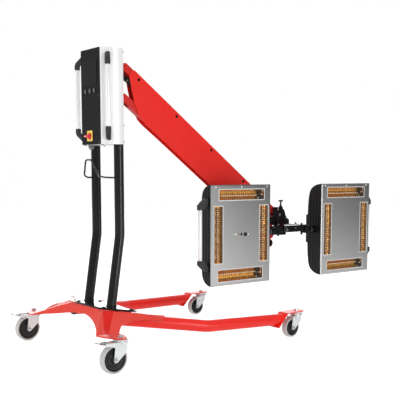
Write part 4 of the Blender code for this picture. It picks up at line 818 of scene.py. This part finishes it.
# Dark caps on the end link's discs.
END_X = along(UP, REACH, 0)[0]
caps = []
for t in (1, -1):
    caps.append(dome_head((END_X - 0.0107, t * 0.0084, 0.4435), (0, t, 0), 0.0190, 0.0050))
for t in (1, -1):
    caps.append(dome_head((UP[0] + REACH * math.cos(SLOPE), t * 0.0148, UP[1] + REACH * math.sin(SLOPE)), (0, t, 0), 0.0105, 0.0035))
caps.append(block(END_X - 0.0146, END_X + 0.0146, -0.0102, 0.0102, 0.5995, 0.6130))
piece("v_link_caps", joined(caps), BLACK_DEEP, "end_link", angle=45)

# ---- head -------------------------------------------------------------------------------------------------------
refined("swivel_head", BLACK_DEEP, 0.0008, 28, 2)
refined("lock_pin", BLACK_DEEP, 0.0006, 32, 2)
refined("cross_bar", BLACK_DEEP, 0.0010, 28, 3)
for hand in ("inner", "outer"):
    refined(f"knuckle_{hand}", BLACK_DEEP, 0.0009, 30, 2)

studs = []
for y, z in ((0.0860, 0.6400), (0.0700, 0.6100), (0.1080, 0.5300), (0.0760, 0.5150)):
    for t in (1, -1):
        studs += hex_head((t * 0.0126, y, z), (t, 0, 0), 0.0085, 0.0036)
piece("v_swivel_bolts", joined(studs), STEEL, "head", HEAD, bevel=0.0003, angle=35)
scale_ring = [turned([(0.0285, 0.0), (0.0298, 0.0004), (0.0298, 0.0040), (0.0285, 0.0044)], (0.0, 0.1596, z), (0, 0, 1), 56, True)
              for z in (0.5560, 0.5850)]
piece("v_swivel_rings", joined(scale_ring), DARK_STEEL, "head", HEAD, angle=50)

front = hex_head((-0.0450, -0.0262, 0.5310), (0, -1, 0), 0.0120, 0.0040)
front += [turned([(0.0088, 0.0), (0.0138, 0.0), (0.0138, 0.0016), (0.0088, 0.0016)], (-0.0450, -0.0165, 0.5310), (0, -1, 0), 40, True)]
front += hex_head((0.0300, -0.0126, 0.5380), (0, -1, 0), 0.0070, 0.0028)
front.append(dome_head((0.0405, 0.0, 0.5599), (0, 0, 1), 0.0062, 0.0104))
front.append(turned([(0, 0), (0.0082, 0), (0.0082, 0.0012), (0, 0.0012)], (0.0405, 0.0, 0.5599), (0, 0, 1), 28))
front += hex_head((0.0, 0.0, 0.5599), (0, 0, 1), 0.0080, 0.0034)
piece("v_cross_bar_bolts", joined(front), DARK_STEEL, "cross_bar", HEAD, bevel=0.0003, angle=35)
# Painted highlight: a light strip along the top front edge of the cross bar, where light catches it.
wear_and_highlight = [(-0.0139, 0.5528), (-0.0127, 0.5526), (-0.0106, 0.5600), (-0.0030, 0.5600), (-0.0030, 0.5607), (-0.0112, 0.5607)]
strip = bmesh.new()
ends = [[strip.verts.new((x, y, z)) for y, z in wear_and_highlight] for x in (-0.0530, 0.0530)]
for i in range(len(wear_and_highlight)):
    j = (i + 1) % len(wear_and_highlight)
    strip.faces.new((ends[0][i], ends[0][j], ends[1][j], ends[1][i]))
strip.faces.new(ends[0])
strip.faces.new(ends[1])
piece("v_cross_bar_highlight_strip", face_out(strip), ALU, "cross_bar", HEAD, bevel=0.0002, angle=30)
for side, hand in ((-1, "inner"), (1, "outer")):
    x = side * 0.0866
    nuts = hex_head((x, 0, 0.5570), (0, 0, 1), 0.0118, 0.0052) + hex_head((x, 0, 0.5016), (0, 0, -1), 0.0110, 0.0040)
    nuts.append(dome_head((x, 0, 0.5620), (0, 0, 1), 0.0042, 0.0034))
    nuts.append(turned([(0.0176, 0.1484), (0.0184, 0.1490), (0.0184, 0.1540), (0.0176, 0.1546)], (0, 0, 0.5238), (side, 0, 0), 48, True))
    for z in (0.5115, 0.5480):
        nuts += [socket_screw((side * 0.1270, -0.0121, z), (0, -1, 0), 0.0034, 0.0022)]
    piece(f"v_knuckle_nuts_{hand}", joined(nuts), DARK_STEEL, f"knuckle_{hand}", HEAD, bevel=0.0003, angle=35)

# ---- lamp cassettes ---------------------------------------------------------------------------------------------
SIDE_X, SIDE_OUT = 0.1893, 0.5813
WIDE = SIDE_OUT - SIDE_X
FACE_Y, FACE_Z = -0.0520, (0.2660, 0.7816)
FRONT = FACE_Y + 0.0031
MID_Z, HALF_Z = (FACE_Z[0] + FACE_Z[1]) / 2, (FACE_Z[1] - FACE_Z[0]) / 2
TILT_Z = 0.5238
SLOTS = {
    -1: ((-0.5290, -0.2350, 0.7050, 0.7565), (-0.5600, -0.5075, 0.3825, 0.6720), (-0.2625, -0.2080, 0.3790, 0.6720),
         (-0.5365, -0.2435, 0.2880, 0.3460)),
    1: ((0.2350, 0.5320, 0.7050, 0.7590), (0.2105, 0.2665, 0.3798, 0.6668), (0.5055, 0.5610, 0.3798, 0.6684),
        (0.2385, 0.5275, 0.2895, 0.3405)),
}
SECTION = smooth_line([(0.0, 1.0, 0), (0.30, 0.985, 0), (0.62, 0.935, 0), (0.84, 0.840, 0), (0.94, 0.66, 0), (0.985, 0.40, 0), (1.0, 0.0, 0)], 7)
FLUTE_PITCH, FLUTE_DEPTH = 0.0225, 0.0013


def shell_grid(side, wall=0.0):
    """The cassette's back as columns across its width; its side walls carry upright flutes."""
    stations = [(wall, k / 40 * 0.93, True) for k in range(41)]
    stations += [(0.0035 + wall * 0.7, 0.985 - wall * 3, False), (0.010 + wall * 0.4, 1.0 - wall * 8, False)]
    stations += [(0.010 + (WIDE - 0.020) * k / 10, 1.0 - wall * 8, False) for k in range(1, 10)]
    stations += [(WIDE - 0.010 - wall * 0.4, 1.0 - wall * 8, False), (WIDE - 0.003 - wall * 0.7, 0.97 - wall * 3, False)]
    stations += [(WIDE - wall, 0.90 * k / 40, True) for k in range(40, -1, -1)]
    columns = []
    for s, share, fluted in stations:
        t = min(max(s / WIDE, 0.0), 1.0)
        deep = 0.0660 - 0.0240 * t
        upper = [(FRONT + (deep - FRONT) * y * share, z * (HALF_Z - wall)) for y, z, _ in SECTION]
        full = upper + [(y, -z) for y, z in reversed(upper[:-1])]
        column = []
        for y, z in full:
            cut = 0.0
            if fluted and not wall:
                ends = min(1.0, max(0.0, (0.97 - abs(z) / HALF_Z) / 0.06))
                rims = min(1.0, max(0.0, (share - 0.10) / 0.06)) * min(1.0, max(0.0, (0.90 - share) / 0.05))
                cut = FLUTE_DEPTH * (0.5 - 0.5 * math.cos(2 * math.pi * (y - FRONT) / FLUTE_PITCH)) ** 1.6 * ends * rims
            inward = cut if t < 0.5 else -cut
            column.append((side * (SIDE_X + s + inward), y, MID_Z + z))
        columns.append(column)
    return columns


def shell_body(side):
    bm = bmesh.new()
    layers = []
    for wall in (0.0, 0.0028):
        grid = [[bm.verts.new(p) for p in column] for column in shell_grid(side, wall)]
        for a, b in zip(grid, grid[1:]):
            for i in range(len(a) - 1):
                bm.faces.new((a[i], b[i], b[i + 1], a[i + 1]))
        layers.append(grid)
    outer_grid, inner_grid = layers
    for first, second in ((outer_grid[0], inner_grid[0]), (outer_grid[-1], inner_grid[-1])):
        for i in range(len(first) - 1):
            bm.faces.new((first[i], first[i + 1], second[i + 1], second[i]))
    for end in (0, -1):
        for a, b, c, d in zip(outer_grid, outer_grid[1:], inner_grid[1:], inner_grid):
            bm.faces.new((a[end], b[end], c[end], d[end]))
    bmesh.ops.remove_doubles(bm, verts=bm.verts, dist=1e-6)
    return face_out(bm)


def pan(side):
    """The face sheet: a flat field with its slots, and four borders that fall back to the rim."""
    xa, xb = sorted((side * SIDE_X, side * SIDE_OUT))
    z0, z1 = FACE_Z
    edge, fall = 0.0060, 0.0034
    xs = {xa, xb, xa + edge, xb - edge}
    zs = {z0, z1, z0 + edge, z1 - edge}
    for a, b, c, d in SLOTS[side]:
        xs |= {a, b}
        zs |= {c, d}
    xs, zs = sorted(xs), sorted(zs)
    bm = bmesh.new()
    front = {}
    for x in xs:
        for z in zs:
            on_rim = x in (xa, xb) or z in (z0, z1)
            front[x, z] = bm.verts.new((x, FACE_Y + (fall if on_rim else 0.0), z))
    for xl, xh in zip(xs, xs[1:]):
        for zl, zh in zip(zs, zs[1:]):
            mx, mz = (xl + xh) / 2, (zl + zh) / 2
            if any(a < mx < b and c < mz < d for a, b, c, d in SLOTS[side]):
                continue
            bm.faces.new((front[xl, zl], front[xh, zl], front[xh, zh], front[xl, zh]))
    rim = [e for e in bm.edges if e.is_boundary]
    made = bmesh.ops.extrude_edge_only(bm, edges=rim)
    fresh = [v for v in made["geom"] if isinstance(v, bmesh.types.BMVert)]
    for v in fresh:
        outer_edge = min(abs(v.co.x - xa), abs(v.co.x - xb), abs(v.co.z - z0), abs(v.co.z - z1)) < 1e-6
        v.co.y += 0.0012 if outer_edge else 0.0040
    bmesh.ops.recalc_face_normals(bm, faces=bm.faces)
    big = max(bm.faces, key=lambda f: f.calc_area())
    if big.normal.y > 0:
        bmesh.ops.reverse_faces(bm, faces=bm.faces)
    return bm


def trough(x0, x1, z0, z1, upright):
    """A folded reflector behind a slot, with pressed ribs across it."""
    span = (x0, x1) if upright else (z0, z1)
    run = (z0, z1) if upright else (x0, x1)
    middle, half = (span[0] + span[1]) / 2, (span[1] - span[0]) / 2
    steps = max(8, int((run[1] - run[0]) / 0.0030))
    shape = [(-1.04, -0.0478), (-0.96, -0.0440), (-0.80, -0.0375), (-0.55, -0.0335), (-0.28, -0.0322), (0.0, -0.0345),
             (0.28, -0.0322), (0.55, -0.0335), (0.80, -0.0375), (0.96, -0.0440), (1.04, -0.0478)]
    bm = bmesh.new()
    rows = []
    for k in range(steps + 1):
        at = run[0] - 0.002 + (run[1] - run[0] + 0.004) * k / steps
        rib = 0.0010 * (k % 3 == 0)
        row = []
        for u, y in shape:
            across = middle + u * half
            depth = y - rib * (1 - abs(u) ** 4)
            row.append(bm.verts.new((across, depth, at) if upright else (at, depth, across)))
        rows.append(row)
    for a, b in zip(rows, rows[1:]):
        for i in range(len(a) - 1):
            bm.faces.new((a[i], b[i], b[i + 1], a[i + 1]))
    for row in (rows[0], rows[-1]):
        back = [bm.verts.new((v.co.x, -0.0478, v.co.z)) for v in row[1:-1]]
        line = [row[0]] + back + [row[-1]]
        for i in range(len(row) - 1):
            quad = list(dict.fromkeys((row[i], row[i + 1], line[i + 1], line[i])))
            if len(quad) > 2:
                bm.faces.new(quad)
    bmesh.ops.recalc_face_normals(bm, faces=bm.faces)
    centre = rows[len(rows) // 2][5].link_faces[0]
    if centre.normal.y > 0:
        bmesh.ops.reverse_faces(bm, faces=bm.faces)
    return bm


for side, hand in ((-1, "inner"), (1, "outer")):
    body = f"cassette_{hand}"
    xa, xb = sorted((side * SIDE_X, side * SIDE_OUT))
    piece(f"v_shell_{hand}", shell_body(side), SHELL, body, HEAD, angle=32, replaces=(f"cassette_shell_{hand}",))
    boss = turned([(0.0088, 0.1566), (0.0182, 0.1566), (0.0190, 0.1574), (0.0190, 0.1860), (0.0230, 0.1886), (0.0230, 0.1900), (0.0088, 0.1900)],
                  (0, 0, TILT_Z), (side, 0, 0), 48, True)
    collar = turned([(0.0188, 0.1600), (0.0200, 0.1608), (0.0200, 0.1668), (0.0188, 0.1676)], (0, 0, TILT_Z), (side, 0, 0), 48, True)
    piece(f"v_tilt_boss_{hand}", joined([boss, collar]), BLACK_DEEP, body, HEAD, bevel=0.0004, angle=35)
    low_x, high_x = sorted((side * (SIDE_X + 0.002), side * (SIDE_X + 0.125)))
    hump = prism([(0.0450, TILT_Z - 0.094), (0.0500, TILT_Z - 0.090), (0.0764, TILT_Z - 0.078), (0.0764, TILT_Z + 0.078),
                  (0.0500, TILT_Z + 0.090), (0.0450, TILT_Z + 0.094)], low_x, high_x, "X")
    piece(f"v_shell_hump_{hand}", hump, SHELL, body, HEAD, bevel=0.0040, angle=25, segments=4)
    bolts = []
    for k in range(4):
        x = side * (SIDE_X + (0.030 if k % 2 else 0.095))
        z = TILT_Z + (0.055 if k < 2 else -0.055)
        bolts += hex_head((x, 0.0763, z), (0, 1, 0), 0.0100, 0.0042)
    piece(f"v_hump_bolts_{hand}", joined(bolts), DARK_STEEL, body, HEAD, bevel=0.0003, angle=35)

    piece(f"v_face_{hand}", pan(side), FACE, body, HEAD, angle=12, replaces=(f"cassette_face_{hand}",))
    frames, gold, tubes, ends, wires, plugs, tips = [], [], [], [], [], [], []
    for index, (x0, x1, z0, z1) in enumerate(SLOTS[side]):
        upright = z1 - z0 > x1 - x0
        inner_line = rounded(x0, x1, z0, z1, 0.0025, 3)
        outer_line = rounded(x0 - 0.0054, x1 + 0.0054, z0 - 0.0054, z1 + 0.0054, 0.0050, 3)
        frames.append(flat_frame(outer_line, inner_line, FACE_Y - 0.0011, FACE_Y + 0.0030, "Y"))
        gold.append(trough(x0, x1, z0, z1, upright))
        if upright:
            mid = x0 + (x1 - x0) * 0.52
            tubes.append(rod((mid, -0.0385, z0 + 0.006), (mid, -0.0385, z1 - 0.006), 0.0036, 24, 0.001))
            for z in (z0 + 0.006, z1 - 0.006):
                ends.append(block(mid - 0.0055, mid + 0.0055, -0.0465, -0.0350, z - 0.006, z + 0.006))
            count = int(round((z1 - z0) / 0.0116))
            for k in range(1, count):
                z = z0 + (z1 - z0) * k / count
                wires.append(rod((x0 - 0.001, FACE_Y + 0.0032, z), (x1 + 0.001, FACE_Y + 0.0032, z), 0.00190, 8))
            for share in (0.24, 0.76):
                x = x0 + (x1 - x0) * share
                wires.append(rod((x, FACE_Y + 0.0047, z0 - 0.001), (x, FACE_Y + 0.0047, z1 + 0.001), 0.00075, 8))
        else:
            mid = z0 + (z1 - z0) * (0.40 if z0 > 0.5 else 0.62)
            tubes.append(rod((x0 + 0.006, -0.0415, mid), (x1 - 0.040, -0.0415, mid), 0.0036, 24, 0.001))
            ends.append(block(x0, x0 + 0.012, -0.0465, -0.0350, mid - 0.0055, mid + 0.0055))
            count = int(round((x1 - x0) / 0.0125))
            for k in range(1, count):
                x = x0 + (x1 - x0) * k / count
                wires.append(rod((x, FACE_Y + 0.0032, z0 - 0.001), (x, FACE_Y + 0.0032, z1 + 0.001), 0.00090, 8))
            for share in (0.22, 0.80):
                z = z0 + (z1 - z0) * share
                wires.append(rod((x0 - 0.001, FACE_Y + 0.0047, z), (x1 + 0.001, FACE_Y + 0.0047, z), 0.00075, 8))
            xe, tall = x1 - 0.003, z1 - z0
            plugs.append(block(xe - 0.034, xe - 0.010, -0.0480, -0.0330, z0 + tall * 0.58, z1 - tall * 0.10))
            plugs.append(block(xe - 0.026, xe - 0.004, -0.0475, -0.0330, z0 + tall * 0.06, z0 + tall * 0.42))
            plugs.append(block(xe - 0.040, xe - 0.026, -0.0470, -0.0330, z0 + tall * 0.30, z0 + tall * 0.54))
            tips.append(rod((xe - 0.012, -0.0440, z0 + tall * 0.50), (xe - 0.001, -0.0440, z0 + tall * 0.50), 0.0030, 16, 0.0008))
            tips.append(rod((xe - 0.009, -0.0440, z0 + tall * 0.82), (xe - 0.001, -0.0440, z0 + tall * 0.90), 0.0036, 16, 0.0008))
            tips.append(rod((xe - 0.036, -0.0440, z0 + tall * 0.12), (xe - 0.027, -0.0440, z0 + tall * 0.16), 0.0028, 16, 0.0008))
    piece(f"v_slot_frames_{hand}", joined(frames), LIP, body, HEAD, bevel=0.0006, angle=30, segments=2)
    tray = block(xa + 0.0050, xb - 0.0050, -0.0300, -0.0288, FACE_Z[0] + 0.0080, FACE_Z[1] - 0.0080)
    piece(f"v_lamp_carrier_{hand}", tray, DARK_STEEL, body, HEAD, bevel=0.0003, angle=30)
    shine = piece(f"v_reflectors_{hand}", joined(gold), GOLD, body, HEAD, angle=25, replaces=(f"lamp_tray_{hand}",))
    shine.data.materials.append(GOLD_UPRIGHT_SHADED)
    # Painted shade: the upright slots' reflector faces take the darker gold copy.
    for face in shine.data.polygons:
        if 0.36 < (shine.matrix_world @ face.center).z < 0.69:
            face.material_index = 1
    piece(f"v_quartz_lamps_{hand}", joined(tubes), QUARTZ, body, HEAD, angle=40)
    piece(f"v_lamp_ends_{hand}", joined(ends), GOLD, body, HEAD, bevel=0.0008, angle=30)
    piece(f"v_grilles_{hand}", joined(wires), GRILLE, body, HEAD, angle=60)
    piece(f"v_connectors_{hand}", joined(plugs), CONNECTOR, body, HEAD, bevel=0.0010, angle=30)
    piece(f"v_connector_tips_{hand}", joined(tips), CERAMIC, body, HEAD, angle=40)

    rivets = []
    for x in ((-0.5499, -0.3847, -0.2147) if side < 0 else (0.2166, 0.3846, 0.5496)):
        rivets.append(dome_head((x, FACE_Y + 0.0002, 0.7705), (0, -1, 0), 0.0042, 0.0022))
    piece(f"v_face_rivets_{hand}", joined(rivets), WHITE, body, HEAD, angle=50)
    edge_screws = []
    for z in (0.7805, 0.2671):
        for share in (0.2, 0.5, 0.8):
            way = 1 if z > 0.5 else -1
            edge_screws.append(socket_screw((side * (SIDE_X + WIDE * share), -0.0380, MID_Z + way * (HALF_Z - 0.0010)), (0, 0, way), 0.0038, 0.0018))
    piece(f"v_edge_screws_{hand}", joined(edge_screws), DARK_STEEL, body, HEAD, angle=40)

    near, back = (0.0, 0.0) if side < 0 else (0.0100, 0.0060)
    gx, gy = side * (0.6250 - near), -0.0190 + back
    tube = turned([(0, 0.0), (0.0106, 0.0), (0.0110, 0.0005), (0.0110, 0.2845), (0.0106, 0.2850), (0, 0.2850)], (gx, gy, 0.3850), (0, 0, 1), 48)
    piece(f"v_side_handle_{hand}", tube, ALU_TUBE, body, HEAD, angle=40, replaces=(f"cassette_handle_{hand}",))
    arms = []
    for end_z, tip_z in ((0.6560, 0.7150), (0.3990, 0.3420)):
        way = 1 if tip_z > end_z else -1
        wall = SIDE_OUT + 0.0004
        plan = [(side * wall, -0.0330), (side * wall, 0.0050), (side * 0.6080, -0.0060), (side * 0.6360, -0.0070),
                (side * 0.6385, -0.0120), (side * 0.6388, -0.0260), (side * 0.6360, -0.0312), (side * 0.6080, -0.0330)]
        plan = plan[:2] + [(px - side * near, py + back) for px, py in plan[2:]]
        rows = []
        for level, share in ((0.0, 0.0), (0.38, 0.0), (0.70, 0.45), (1.0, 1.0)):
            z = end_z + (tip_z - end_z) * level
            lift = 0.0340 * way * (1.0 - level)
            rows.append([(px, py, z + lift) if abs(px) < wall + 0.001 else (side * (abs(px) - (abs(px) - wall - 0.0125) * share), py, z)
                         for px, py in plan])
        bm = bmesh.new()
        verts = [[bm.verts.new(p) for p in row] for row in rows]
        for a, b in zip(verts, verts[1:]):
            for i in range(len(a)):
                j = (i + 1) % len(a)
                bm.faces.new((a[i], a[j], b[j], b[i]))
        bm.faces.new(verts[0])
        bm.faces.new(verts[-1])
        arms.append(face_out(bm))
    piece(f"v_side_handle_brackets_{hand}", joined(arms), CHARCOAL, body, HEAD, bevel=0.0030, angle=25, segments=4)

# Sensors in the middle of the inner cassette's face.
FIELD = FACE_Y - 0.0001
piece("v_sensor_white_studs", joined([dome_head((x, FIELD, z), (0, -1, 0), r, 0.0024) for x, z, r in
                                      ((-0.4314, 0.5267, 0.0030), (-0.4197, 0.5261, 0.0042), (-0.3388, 0.5237, 0.0042))]),
      WHITE, "cassette_inner", HEAD, angle=50)
piece("v_sensor_amber", dome_head((-0.4033, FIELD, 0.5264), (0, -1, 0), 0.0052, 0.0034), AMBER, "cassette_inner", HEAD, angle=50)
piece("v_sensor_window", prism(oval(-0.3855, 0.5260, 0.0048, 0.0082, 32), FIELD - 0.0014, FIELD + 0.0006, "Y"), WINDOW, "cassette_inner",
      HEAD, bevel=0.0005, angle=30)
disc = [turned([(0, 0.0), (0.0104, 0.0), (0.0104, 0.0014), (0.0092, 0.0026), (0.0060, 0.0026), (0.0052, 0.0012), (0, 0.0012)],
               (-0.3596, FIELD, 0.5247), (0, -1, 0), 40)]
piece("v_sensor_disc", joined(disc), CONNECTOR, "cassette_inner", HEAD, angle=40)

# ---- floor, light and backdrop ----------------------------------------------------------------------------------
floor_mat = bpy.data.materials.new("studio_floor")
floor_mat.use_nodes = True
floor_shader = floor_mat.node_tree.nodes["Principled BSDF"]
floor_shader.inputs["Base Color"].default_value = (0.72, 0.72, 0.72, 1.0)
floor_shader.inputs["Roughness"].default_value = 0.6
floor_shader.inputs["Specular IOR Level"].default_value = 0.2
floor_shader.inputs["Emission Color"].default_value = (1.0, 1.0, 1.0, 1.0)
floor_tree = floor_mat.node_tree
floor_path = floor_tree.nodes.new("ShaderNodeLightPath")
floor_glow = floor_tree.nodes.new("ShaderNodeMapRange")
floor_glow.inputs["To Min"].default_value = 0.30
floor_glow.inputs["To Max"].default_value = 0.64
floor_tree.links.new(floor_path.outputs["Is Camera Ray"], floor_glow.inputs["Value"])
floor_tree.links.new(floor_glow.outputs["Result"], floor_shader.inputs["Emission Strength"])
bm = bmesh.new()
bmesh.ops.create_circle(bm, cap_ends=True, radius=14.0, segments=96)
floor_mesh = bpy.data.meshes.new("studio_floor")
bm.to_mesh(floor_mesh)
bm.free()
floor = bpy.data.objects.new("studio_floor", floor_mesh)
floor_mesh.materials.append(floor_mat)
scene.collection.objects.link(floor)

world = bpy.data.worlds.new("studio")
scene.world = world
world.use_nodes = True
tree = world.node_tree
nodes, links = tree.nodes, tree.links
nodes.clear()
out = nodes.new("ShaderNodeOutputWorld")
where = nodes.new("ShaderNodeTexCoord")
kind = nodes.new("ShaderNodeLightPath")


def sky_math(operation, a, b=None, clamp=False):
    node = nodes.new("ShaderNodeMath")
    node.operation = operation
    node.use_clamp = clamp
    for socket, value in ((node.inputs[0], a), (node.inputs[1], b)):
        if value is None:
            continue
        if isinstance(value, (int, float)):
            socket.default_value = value
        else:
            links.new(value, socket)
    return node.outputs[0]


def towards(direction, start, full):
    """0 outside a cone about a direction, 1 well inside it; the limits are cosines."""
    node = nodes.new("ShaderNodeVectorMath")
    node.operation = "DOT_PRODUCT"
    node.inputs[1].default_value = Vector(direction).normalized()
    links.new(where.outputs["Generated"], node.inputs[0])
    span = nodes.new("ShaderNodeMapRange")
    span.interpolation_type = "SMOOTHSTEP"
    span.inputs["From Min"].default_value = start
    span.inputs["From Max"].default_value = full
    links.new(node.outputs["Value"], span.inputs["Value"])
    return span.outputs["Result"]


GENERAL, BEHIND, FLAG = 0.50, 2.8, 0.10
behind = towards((0.53, 0.848, 0.20), 0.90, 0.985)
flag = towards((0.62, -0.76, 0.16), 0.84, 0.95)
gloss = sky_math("ADD", GENERAL, sky_math("MULTIPLY", behind, BEHIND - GENERAL))
gloss = sky_math("SUBTRACT", gloss, sky_math("MULTIPLY", flag, GENERAL - FLAG))
plain = nodes.new("ShaderNodeBackground")
plain.inputs["Color"].default_value = (0.97, 0.985, 1.0, 1.0)
plain.inputs["Strength"].default_value = 0.55
mirror = nodes.new("ShaderNodeBackground")
mirror.inputs["Color"].default_value = (1.0, 1.0, 1.0, 1.0)
links.new(gloss, mirror.inputs["Strength"])
seen = nodes.new("ShaderNodeBackground")
seen.inputs["Color"].default_value = (1.0, 1.0, 1.0, 1.0)
seen.inputs["Strength"].default_value = 1.0
first = nodes.new("ShaderNodeMixShader")
second = nodes.new("ShaderNodeMixShader")
links.new(kind.outputs["Is Glossy Ray"], first.inputs[0])
links.new(plain.outputs[0], first.inputs[1])
links.new(mirror.outputs[0], first.inputs[2])
links.new(kind.outputs["Is Camera Ray"], second.inputs[0])
links.new(first.outputs[0], second.inputs[1])
links.new(seen.outputs[0], second.inputs[2])
links.new(second.outputs[0], out.inputs["Surface"])


def softbox(name, at, aim, power, size):
    lamp = bpy.data.lights.new(name, "AREA")
    lamp.energy = power
    lamp.shape = "RECTANGLE"
    lamp.size, lamp.size_y = size
    item = bpy.data.objects.new(name, lamp)
    item.location = at
    item.rotation_euler = (Vector(aim) - Vector(at)).to_track_quat("-Z", "Y").to_euler()
    scene.collection.objects.link(item)
    return item


softbox("right_light", (-0.35, -4.8, 1.3), (-0.3, 0.0, 0.7), 62.0, (0.8, 2.6))
left = softbox("left_light", (-4.6, 1.0, 1.6), (-0.3, 0.0, 0.6), 80.0, (2.2, 2.4))
left.visible_glossy = False
slim = softbox("slim_light", (1.28, -3.94, 0.85), (-0.7, 0.1, 0.8), 10.0, (0.35, 1.6))
slim.visible_diffuse = False
top = softbox("top_light", (0.3, -0.4, 4.4), (0.1, 0.0, 0.4), 60.0, (3.0, 2.4))
top.visible_glossy = False

scene.view_settings.view_transform = "Standard"
